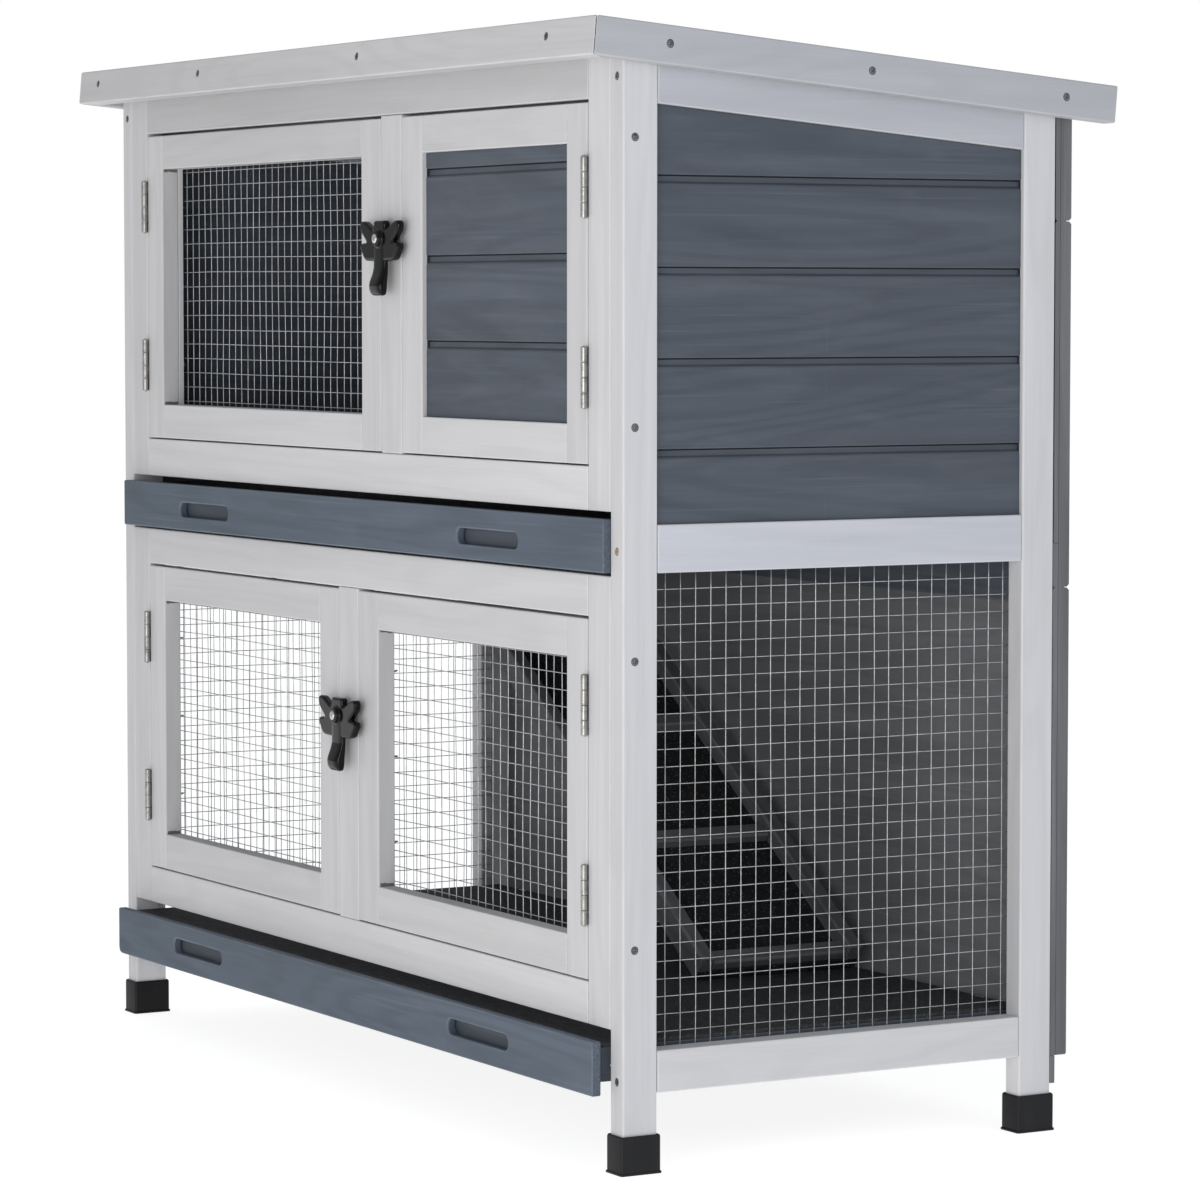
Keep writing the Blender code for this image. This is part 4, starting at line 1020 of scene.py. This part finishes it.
def latch(tier, mx, z):
    body = f"{tier}_latch"
    at = Vector((mx, 0, z))
    poly = [Vector(p) for p in WING] + [Vector((-p[0], p[1], p[2])) for p in reversed(WING)]
    loop = [Vector((p.x + mx, p.y + z)) for p in fix_ccw(rounded(poly, 0.0030, 5))]
    y_front, y_back = FRONT - LATCH_BACK - LATCH_T - 0.0002, FRONT - LATCH_BACK
    bm = bmesh.new()
    rings = []
    for k in range(5):
        t = math.pi / 2 * k / 4
        rings.append((inset(loop, 0.0018 * (1 - math.sin(t))), y_front + 0.0018 * (1 - math.cos(t))))
    rings.append((loop, y_back - 0.0008))
    rings.append((inset(loop, 0.0006), y_back))
    loft(bm, [[Vector((p.x, y, p.y)) for p in ring] for ring, y in rings])
    # grip that hangs down and swells forwards near its end
    stations = ((-0.0030, 0.0084, -0.0062, -0.0110), (-0.0090, 0.0092, -0.0061, -0.0113),
                (-0.0160, 0.0094, -0.0061, -0.0113), (-0.0220, 0.0095, -0.0061, -0.0115),
                (-0.0265, 0.0096, -0.0062, -0.0126), (-0.0300, 0.0097, -0.0063, -0.0141),
                (-0.0330, 0.0097, -0.0065, -0.0154), (-0.0360, 0.0097, -0.0067, -0.0160),
                (-0.0390, 0.0096, -0.0069, -0.0157), (-0.0414, 0.0092, -0.0072, -0.0147),
                (-0.0430, 0.0084, -0.0078, -0.0133), (-0.0437, 0.0066, -0.0088, -0.0120))
    loops = []
    for zz, hw, yb, yf in stations:
        cy, hy = (yb + yf) / 2, (yb - yf) / 2
        ring = []
        for k in range(28):
            t = 2 * math.pi * k / 28
            c, q = math.cos(t), math.sin(t)
            e = 2 / 3.4
            ring.append(Vector((mx + hw * math.copysign(abs(c) ** e, c), FRONT + cy + hy * math.copysign(abs(q) ** e, q), z + zz)))
        loops.append(ring)
    loft(bm, loops)
    # hub behind the wings and boss in front, the screw's shank sunk in them
    m = facing((mx, FRONT, z), (0, -1, 0))
    lathe(bm, ((0.0, 0.0009), (0.0062, 0.0009), (0.0064, 0.0052), (0.0076, 0.0106), (0.0069, 0.0112), (0.0063, 0.0120),
               (0.0062, 0.0133), (0.0058, 0.0140), (0.0, 0.0141)), 32, m)
    bm = moulding(bm, 0.00050, 4)
    put_object(bm, f"{tier}_latch_moulding", ["gloss"], body, "gloss_black_plastic", f"{tier}_latch_button", 0.0)
    # pan-head screw it turns on
    bm = bmesh.new()
    lathe(bm, ((0.0, 0.0), (0.0021, 0.0), (0.0021, 0.0139), (0.0035, 0.0140), (0.0037, 0.0143), (0.0035, 0.0148),
               (0.0028, 0.0152), (0.0016, 0.0154), (0.0, 0.01541)), 28, m)
    bm = cross_cut(bm, m @ Matrix.Translation((0, 0, 0.0154)), 0.0021, 0.0010)
    put_object(bm, f"{tier}_latch_pivot_screw", ["bright"], "frame", "hardware", f"{tier}_latch_screw", 0.0)


latch("upper", UP_MULLION_X, LATCH_UP_Z)
latch("lower", LOW_MULLION_X, LATCH_LOW_Z)

# -------------------------------------------------------------- pull-out trays


def stadium(cx, cz, length, height, seg=10):
    r = height / 2
    pts = []
    for k in range(seg + 1):
        t = -math.pi / 2 + math.pi * k / seg
        pts.append(Vector((cx + length / 2 - r + r * math.cos(t), cz + r * math.sin(t))))
    for k in range(seg + 1):
        t = math.pi / 2 + math.pi * k / seg
        pts.append(Vector((cx - length / 2 + r + r * math.cos(t), cz + r * math.sin(t))))
    return pts


def drawer(tier, y0, zf, zt, half, rear, slot_dz, skew, hole):
    """Front board with finger slots; behind it a felted floor laid on grey rails.
    skew: how far the left and the right end stand out from the straight position."""
    body, slot_ = f"{tier}_drawer", "felted_board"
    zc = (zf[0] + zf[1]) / 2 + slot_dz
    corner = 0.0014

    def add(bm, *args, **kw):
        for v in bm.verts:
            t = (v.co.x + DRAWER_HALF) / (2 * DRAWER_HALF)
            v.co.y -= skew[0] * (1 - t) + skew[1] * t
        put_object(bm, *args, **kw)

    rl = 0.0014 if tier == "upper" else 0.0065
    outline = rounded(((-DRAWER_HALF, zf[0], rl), (DRAWER_HALF, zf[0], corner), (DRAWER_HALF, zf[1], corner),
                       (-DRAWER_HALF, zf[1], corner)), corner, 4)
    bm = bmesh.new()
    slab(bm, outline, [stadium(x, zc, SLOT_L, SLOT_H) for x in SLOT_X], y0, y0 + DRAWER_T, 0.0011, 0.0014)
    bm.normal_update()
    mark_ends(bm, "X")
    for f in bm.faces:               # the finger slots keep their paint
        if f.material_index and abs(f.calc_center_median().x) < DRAWER_HALF - 0.01:
            f.material_index = 0
    add(bm, f"{tier}_drawer_front", ["drawerX", "drawerend"], body, "grey_boards", f"{tier}_tray_front_board")
    yb0 = y0 + DRAWER_T + GAP
    w, t = 0.004, 0.0030
    zu = zt[1] - t                   # underside of the floor
    # floor, in strips around the ramp hole where there is one
    bm = bmesh.new()
    if hole:
        (hx0, hx1), (hy0, hy1) = RAMP_HOLE_X, RAMP_HOLE_Y
        xs, ys = (-half, hx0, hx1, half), (yb0, hy0, hy1, rear)
        vt = {}
        for i, x in enumerate(xs):
            for j, y in enumerate(ys):
                for k, zz in enumerate((zu, zt[1])):
                    vt[i, j, k] = bm.verts.new((x, y, zz))
        cells = [(i, j) for i in range(3) for j in range(3) if (i, j) != (1, 1)]
        for i, j in cells:
            bm.faces.new([vt[q] for q in ((i, j, 1), (i + 1, j, 1), (i + 1, j + 1, 1), (i, j + 1, 1))])
            bm.faces.new([vt[q] for q in ((i, j, 0), (i, j + 1, 0), (i + 1, j + 1, 0), (i + 1, j, 0))])
        for i in range(3):
            for j in (0, 3):
                bm.faces.new([vt[q] for q in ((i, j, 0), (i + 1, j, 0), (i + 1, j, 1), (i, j, 1))])
                bm.faces.new([vt[q] for q in ((j, i, 0), (j, i + 1, 0), (j, i + 1, 1), (j, i, 1))])
        for j in (1, 2):
            bm.faces.new([vt[q] for q in ((1, j, 0), (2, j, 0), (2, j, 1), (1, j, 1))])
            bm.faces.new([vt[q] for q in ((j, 1, 0), (j, 2, 0), (j, 2, 1), (j, 1, 1))])
        bmesh.ops.recalc_face_normals(bm, faces=bm.faces)
    else:
        bm.free()
        bm = box_bm((-half, yb0, zu), (half, rear, zt[1]))
    ease_edges(bm, 0.0005, 1)
    add(bm, f"{tier}_tray_floor", ["felted"], body, slot_, f"{tier}_tray", 0.0)
    low = min(zt[0], zc - SLOT_H / 2 - 0.004)
    for tag, lo, hi in (("front", (-half, yb0, low), (half, yb0 + w, zu)),
                        ("rear", (-half, rear - w, zt[0]), (half, rear, zu)),
                        ("left", (-half, yb0 + w, zt[0]), (-half + w, rear - w, zu)),
                        ("right", (half - w, yb0 + w, zt[0]), (half, rear - w, zu))):
        bm = box_bm(lo, hi)
        ease_edges(bm, 0.0006, 2)
        add(bm, f"{tier}_tray_{tag}_rail", ["greyX" if tag in ("front", "rear") else "greyY"], body, "grey_boards", (), -0.10)
    # cross battens under the floor
    for k, x in enumerate((-0.300, -0.045, 0.190)):
        bm = box_bm((x - 0.011, yb0 + w, zu - 0.007), (x + 0.011, rear - w, zu))
        ease_edges(bm, 0.0006, 2)
        add(bm, f"{tier}_tray_batten_{k}", ["ashY"], body, "grey_boards", (), -0.05)
    # staples that hold the rails
    bm = bmesh.new()
    zz = (zt[0] + zu) / 2
    for s in (-1, 1):
        for yy in (yb0 + 0.016, (yb0 + rear) / 2, rear - 0.016):
            staple(bm, (s * half, yy, zz), (0, 1, 0.15), (s, 0, 0), w=0.011, h=0.0002, r=0.00055)
    for x in (-0.36, -0.12, 0.12, 0.36):
        for yy in (yb0 + 0.0025, rear - 0.0025):
            staple(bm, (x, yy, zt[1]), (1, 0.1, 0), (0, 0, 1), w=0.010, h=0.0001, r=0.00045)
    add(bm, f"{tier}_tray_staples", ["bright"], body, "hardware", (), 0.0, keep_normals=True)


drawer("upper", UP_DRAWER_Y, UP_DRAWER_Z, UP_TRAY_Z, 0.4130, FRONT + 0.3665, -0.0020, (0.0040, 0.0), True)
drawer("lower", LOW_DRAWER_Y, LOW_DRAWER_Z, LOW_TRAY_Z, 0.4090, FRONT + 0.3565, 0.0009, (0.0015, -0.0011), False)

# ------------------------------------------------------------------- rear wall
yo, yi, ym = BACK + BACK_T, BACK + GAP, BACK + TONGUE_T
to_deck = lambda v: Vector((v.x, v.y, under_deck(v.y) - GAP)) if v.z > 0.85 else v
prof = [(ym + 0.0003, 0.9, 0), (yo, 0.9, 0)]
# V-groove faces get worn -1: painted shade in the groove
for g in sorted(BACK_GROOVES, reverse=True):
    prof += [(yo, g + 0.0022, 0.7), (yo - 0.0020, g + 0.0003, -1), (yo - 0.0045, g + 0.0003, -1), (yo - 0.0045, g - 0.0003, -1),
             (yo - 0.0020, g - 0.0003, 0.7), (yo, g - 0.0022, 0)]
prof += [(yo, BACK_Z + 0.001, 1), (yo - 0.001, BACK_Z, 0), (ym + 0.0003, BACK_Z, 0)]
rear_pits = []
for x in (-HALF_W + 0.009, HALF_W - 0.009):
    for z in (0.095, 0.235, 0.375, 0.470, 0.600, 0.725):
        rear_pits.append(((x, yo, z), (0, 1, 0)))
prism("rear_wall_boards", prof, "X", -HALF_W, HALF_W, "X", ["slateX", "cutZ"], "frame", "grey_boards", "back_panel",
      warp=to_deck, pits=rear_pits)
# the upper room's lining takes the near-black shade copy of the lining paint: painted shade; the lower run keeps the
# lighter copy
for tag, mat_, z0, z1 in (("run", "innerX", BACK_Z, 0.4395), ("room", "shadeX", 0.4398, 0.9)):
    prof = [(yi, z1, 0), (ym, z1, 0), (ym, z0, 0), (yi, z0, 0)]
    for g in sorted(BACK_GROOVES):
        if z0 < g < z1:
            # lining grooves get worn -0.5: painted shade in the groove
            prof += [(yi, g - 0.0016, -0.5), (yi + 0.0014, g, -0.5), (yi, g + 0.0016, 0)]
    prism(f"rear_{tag}_lining", prof, "X", -HALF_W, HALF_W, "X", [mat_, "cutZ"], "frame", "grey_boards", (), warp=to_deck)
for side, s in SIDES:
    a, b = span(s * (HALF_W - TONGUE_W), s * HALF_W)
    board(f"rear_{side}_tongue", (a, yi, TONGUE_Z), (b, ym, BACK_Z - 0.0002), "Z", paint="ash", slot="grey_boards", ease=0.0005, seg=1)
board("rear_floor_batten", (-HALF_W + LEG_W + GAP, BACK - 0.015, 0.3950), (HALF_W - LEG_W - GAP, BACK, 0.4405), "X",
      paint="slate", slot="grey_boards", repl="rear_floor_ledge")

# ------------------------------------------------------------------------ ramp
rloc, rrot = (RAMP_FOOT[0] + 0.0115, 0.0, RAMP_FOOT[1]), (0, RAMP_ANG - math.radians(0.7), 0)


def ramp_piece(name, bm, mats, slot_, repl=(), tone_and_painted_light=None):
    return put_object(bm, name, mats, "frame", slot_, repl, tone_and_painted_light, loc=rloc, rot=rrot)


bm = box_bm((-RAMP_LEN, RAMP_Y[0] + 0.0002, 0.0), (0.0, RAMP_Y[1] - 0.0002, RAMP_T))
ease_edges(bm, 0.0008, 2)
ramp_piece("ramp_tread_board", bm, ["feltramp"], "felted_board", "ramp", 0.0)
for tag, a, b in (("front", RAMP_Y[0] - 0.0005, RAMP_Y[0] + RAMP_RAIL_W), ("rear", RAMP_Y[1] - RAMP_RAIL_W, RAMP_Y[1] + 0.0005)):
    bm = box_bm((-RAMP_LEN + 0.0005, a, 0.0005), (-0.0005, b, RAMP_RAIL_H))
    ease_edges(bm, 0.0016, 3)
    mark_ends(bm, "X")
    ramp_piece(f"ramp_{tag}_rail", bm, ["ashX", "ashend"], "grey_boards")
d, i = 0.001, 0
while d < RAMP_LEN - CLEAT_W:
    bm = box_bm((-d - CLEAT_W, RAMP_Y[0] + RAMP_RAIL_W, RAMP_T - 0.0005), (-d, RAMP_Y[1] - RAMP_RAIL_W, RAMP_T + CLEAT_H))
    ease_edges(bm, 0.0018, 3)
    mark_ends(bm, "Y")
    ramp_piece(f"ramp_cleat_{i}", bm, ["ashY", "ashend"], "grey_boards")
    d += CLEAT_STEP
    i += 1

# ------------------------------------------------------------------------ roof
inner = ROOF_HALF - TRIM_T
roof_m = Matrix.Translation((0, ROOF_FRONT, ROOF_TOP)) @ Matrix.Rotation(-ROOF_ANG, 4, "X")


def roof_board(name, lo, hi, grain, repl, shape=None, pits=(), ease=0.0012, tone_and_painted_light=None):
    bm = box_bm(lo, hi)
    if shape:
        for v in bm.verts:
            shape(v)
    ease_edges(bm, ease, 3)
    bm = cut_pits(bm, pits)
    bm.normal_update()
    mark_ends(bm, grain)
    bm.transform(roof_m)
    for p, d_ in pits:
        add_screw(name, roof_m @ Vector(p), roof_m.to_3x3() @ Vector(d_))
    return put_object(bm, name, ["white" + grain, "whiteend"], "frame", "white_timber", repl, tone_and_painted_light)


def mitre_front(v):
    if v.co.y > TRIM_T / 2:
        v.co.x = math.copysign(inner, v.co.x)


front_screws = [((x, 0, -0.0115), (0, -1, 0)) for x in (-0.845 + 0.43335, -0.641 + 0.43335, -0.351 + 0.43335, -0.053 + 0.43335)]
front_screws = [((-HALF_W + (0.8667 - q), 0, -0.0115), (0, -1, 0)) for q in (0.845, 0.641, 0.351, 0.053)]
# painted shade: the front trim is toned darker (-0.07)
roof_board("roof_front_fascia", (-ROOF_HALF, 0, -TRIM_H), (ROOF_HALF, TRIM_T, 0), "X", "roof_front_trim", mitre_front,
           front_screws, tone_and_painted_light=-0.07)
for side, s in SIDES:
    a, b = span(s * inner, s * ROOF_HALF)

    def mitre_side(v, s=s):
        if v.co.y < TRIM_T / 2:
            v.co.y = (TRIM_T if abs(v.co.x) < inner + 1e-5 else 0.0) + 2 * GAP

    # painted shade: the side trims are toned darker (-0.14)
    roof_board(f"roof_{side}_fascia", (a, 0.0, -TRIM_H), (b, ROOF_LEN, 0), "Y", f"roof_{side}_trim", mitre_side,
               [((s * ROOF_HALF, 0.0315 + y / math.cos(ROOF_ANG), -0.0130), (s, 0, 0)) for y in (0.0297, 0.1977, 0.3677)], tone_and_painted_light=-0.14)
e = 2 * GAP
bm = box_bm((-inner + e, TRIM_T + e, -FELT_DROP - FELT_T - DECK_T), (inner - e, ROOF_LEN - 0.002, -FELT_DROP - FELT_T))
ease_edges(bm, 0.0004, 1)
bm.normal_update()
for f in bm.faces:
    f.material_index = 1 if f.normal.y > 0.7 else 0
bm.transform(roof_m)
put_object(bm, "roof_deck_board", ["whiteX", "ply"], "frame", "white_timber", "roof_deck", -0.04)
# felt sheet, laid with faint cockles, clout nails along its edges
bm = bmesh.new()
nx, ny = 96, 48
fx0, fx1, fy0, fy1 = -inner + e, inner - e, TRIM_T + e, ROOF_LEN
grid = {}
lap = 0.3


def felt_z(x, y, u, v):
    edge_ = min(1.0, 8 * min(u, 1 - u)) * min(1.0, 8 * min(v, 1 - v))
    z = -0.00045 * edge_ * (0.5 + 0.5 * math.sin(9 * u + 2.1) * math.sin(7 * v + 0.7) + 0.25 * math.sin(33 * u + 11 * v))
    return max(-0.00085, z)


for i in range(nx + 1):
    for j in range(ny + 1):
        u, v = i / nx, j / ny
        x, y = fx0 + (fx1 - fx0) * u, fy0 + (fy1 - fy0) * v
        grid[i, j, 1] = bm.verts.new((x, y, -FELT_DROP + felt_z(x, y, u, v) + 0.0004))
        grid[i, j, 0] = bm.verts.new((x, y, -FELT_DROP - FELT_T + GAP))
for i in range(nx):
    for j in range(ny):
        bm.faces.new([grid[q] for q in ((i, j, 1), (i + 1, j, 1), (i + 1, j + 1, 1), (i, j + 1, 1))]).smooth = True
        bm.faces.new([grid[q] for q in ((i, j, 0), (i, j + 1, 0), (i + 1, j + 1, 0), (i + 1, j, 0))])
for i in range(nx):
    for j in (0, ny):
        bm.faces.new([grid[q] for q in ((i, j, 0), (i + 1, j, 0), (i + 1, j, 1), (i, j, 1))])
for j in range(ny):
    for i in (0, nx):
        bm.faces.new([grid[q] for q in ((i, j, 0), (i, j + 1, 0), (i, j + 1, 1), (i, j, 1))])
bm.transform(roof_m)
put_object(bm, "roof_felt_sheet", ["felt"], "frame", "roof_felt", "roof_felt", 0.0)
bm = bmesh.new()
nails = [(fx0 + (fx1 - fx0) * k / 8, y) for k in range(1, 8) for y in (fy0 + 0.010, fy1 - 0.012)]
nails += [(x, fy0 + (fy1 - fy0) * k / 4) for k in range(1, 4) for x in (fx0 + 0.010, fx1 - 0.010)]
nails += [(x, y) for x in (fx0 + 0.010, fx1 - 0.010) for y in (fy0 + 0.010, fy1 - 0.012)]
for x, y in nails:
    m = roof_m @ Matrix.Translation((x, y, -FELT_DROP))
    lathe(bm, ((0.0, -0.0006), (0.0034, -0.0006), (0.0036, 0.0003), (0.0033, 0.0006), (0.0018, 0.0009), (0.0, 0.00095)), 18, m)
put_object(bm, "roof_clout_nails", ["zinc"], "frame", "hardware", (), 0.0)

# ---------------------------------------------------------------------- screws
head = bmesh.new()
lathe(head, ((0.0, -0.0007), (0.0024, -0.0007), (0.00285, -0.0001), (0.00285, 0.0001), (0.0026, 0.00025), (0.0015, 0.0004),
             (0.0, 0.00045)), 24, Matrix.Identity(4))
head = cross_cut(head, Matrix.Translation((0, 0, 0.0004)), 0.0018, 0.0009)
head_me = bpy.data.meshes.new("screw_head")
head.to_mesh(head_me)
head.free()
rg = random.Random(21)
groups = {}
for (host, kind), items in sorted(screws.items()):
    area = ("roof" if host.startswith("roof") else "rear_wall" if host.startswith("rear_wall") else
            "_".join(host.split("_")[:2]) + "_leg")
    groups.setdefault((area, kind), []).extend(items)
for (area, kind), items in sorted(groups.items()):
    bm = bmesh.new()
    for p, d_, sunk in items:
        tmp = bmesh.new()
        tmp.from_mesh(head_me)
        tmp.transform(facing(p - d_ * (sunk + 0.00012), d_) @ Matrix.Rotation(rg.uniform(0, 1.57), 4, "Z"))
        t = bpy.data.meshes.new("tmp")
        tmp.to_mesh(t)
        tmp.free()
        bm.from_mesh(t)
        bpy.data.meshes.remove(t)
    put_object(bm, f"{area}_screws", [kind], "frame", "hardware", (), 0.0, keep_normals=True)
bpy.data.meshes.remove(head_me)

# ---------------------------------------------------------------------- stage
bm = bmesh.new()
bmesh.ops.create_circle(bm, cap_ends=True, segments=64, radius=30.0)
me = bpy.data.meshes.new("studio_floor")
bm.to_mesh(me)
bm.free()
floor = bpy.data.objects.new("studio_floor", me)
scene.collection.objects.link(floor)
fm = bpy.data.materials.new("studio_floor")
fm.use_nodes = True
ft = fm.node_tree
fb = ft.nodes["Principled BSDF"]
fb.inputs["Base Color"].default_value = (0.40, 0.40, 0.40, 1)
fb.inputs["Roughness"].default_value = 1.0
fb.inputs["Specular IOR Level"].default_value = 0.0
fb.inputs["Emission Color"].default_value = (1, 1, 1, 1)
fb.inputs["Emission Strength"].default_value = 0.86
me.materials.append(fm)

world = bpy.data.worlds.new("studio")
scene.world = world
world.use_nodes = True
wt = world.node_tree
wt.nodes.clear()
wo = wt.nodes.new("ShaderNodeOutputWorld")
mixw = wt.nodes.new("ShaderNodeMixShader")
lit, seen = wt.nodes.new("ShaderNodeBackground"), wt.nodes.new("ShaderNodeBackground")
lp = wt.nodes.new("ShaderNodeLightPath")
lit.inputs[0].default_value = (0.96, 0.975, 1.0, 1)
lit.inputs[1].default_value = 0.45
seen.inputs[0].default_value = (1, 1, 1, 1)
seen.inputs[1].default_value = 1.0
wt.links.new(lp.outputs["Is Camera Ray"], mixw.inputs[0])
wt.links.new(lit.outputs[0], mixw.inputs[1])
wt.links.new(seen.outputs[0], mixw.inputs[2])
wt.links.new(mixw.outputs[0], wo.inputs[0])


def area_light(name, loc, target, size, power, colour=(1, 1, 1)):
    la = bpy.data.lights.new(name, "AREA")
    la.shape, la.size, la.energy, la.color = "DISK", size, power, colour
    ob = bpy.data.objects.new(name, la)
    ob.location = loc
    ob.rotation_euler = (Vector(target) - Vector(loc)).to_track_quat("-Z", "Y").to_euler()
    scene.collection.objects.link(ob)
    ob.visible_camera = False
    return ob


area_light("key", (1.35, -1.45, 0.45), (0.15, 0.0, 0.35), 1.0, 9.5)
area_light("side_fill", (2.2, 0.6, 1.2), (0.3, 0.0, 0.45), 1.2, 4.0, (0.80, 0.88, 1.0))

# --------------------------------------------------------------------- camera
cam_data = bpy.data.cameras.new("photo_camera")
cam = bpy.data.objects.new("photo_camera", cam_data)
scene.collection.objects.link(cam)
cam.location = (3.1826, -1.7730, 0.6166)
cam.rotation_euler = Vector((-0.8683, 0.4921, -0.0618)).to_track_quat("-Z", "Y").to_euler()
cam_data.lens, cam_data.sensor_width = 135.65, 36.0
cam_data.shift_x, cam_data.shift_y = 0.00686, -0.01273
cam_data.clip_start, cam_data.clip_end = 0.05, 100.0
scene.camera = cam

scene.view_settings.view_transform = "Standard"
scene.view_settings.look = "None"
scene.view_settings.exposure = 0.0
scene.view_settings.gamma = 1.0
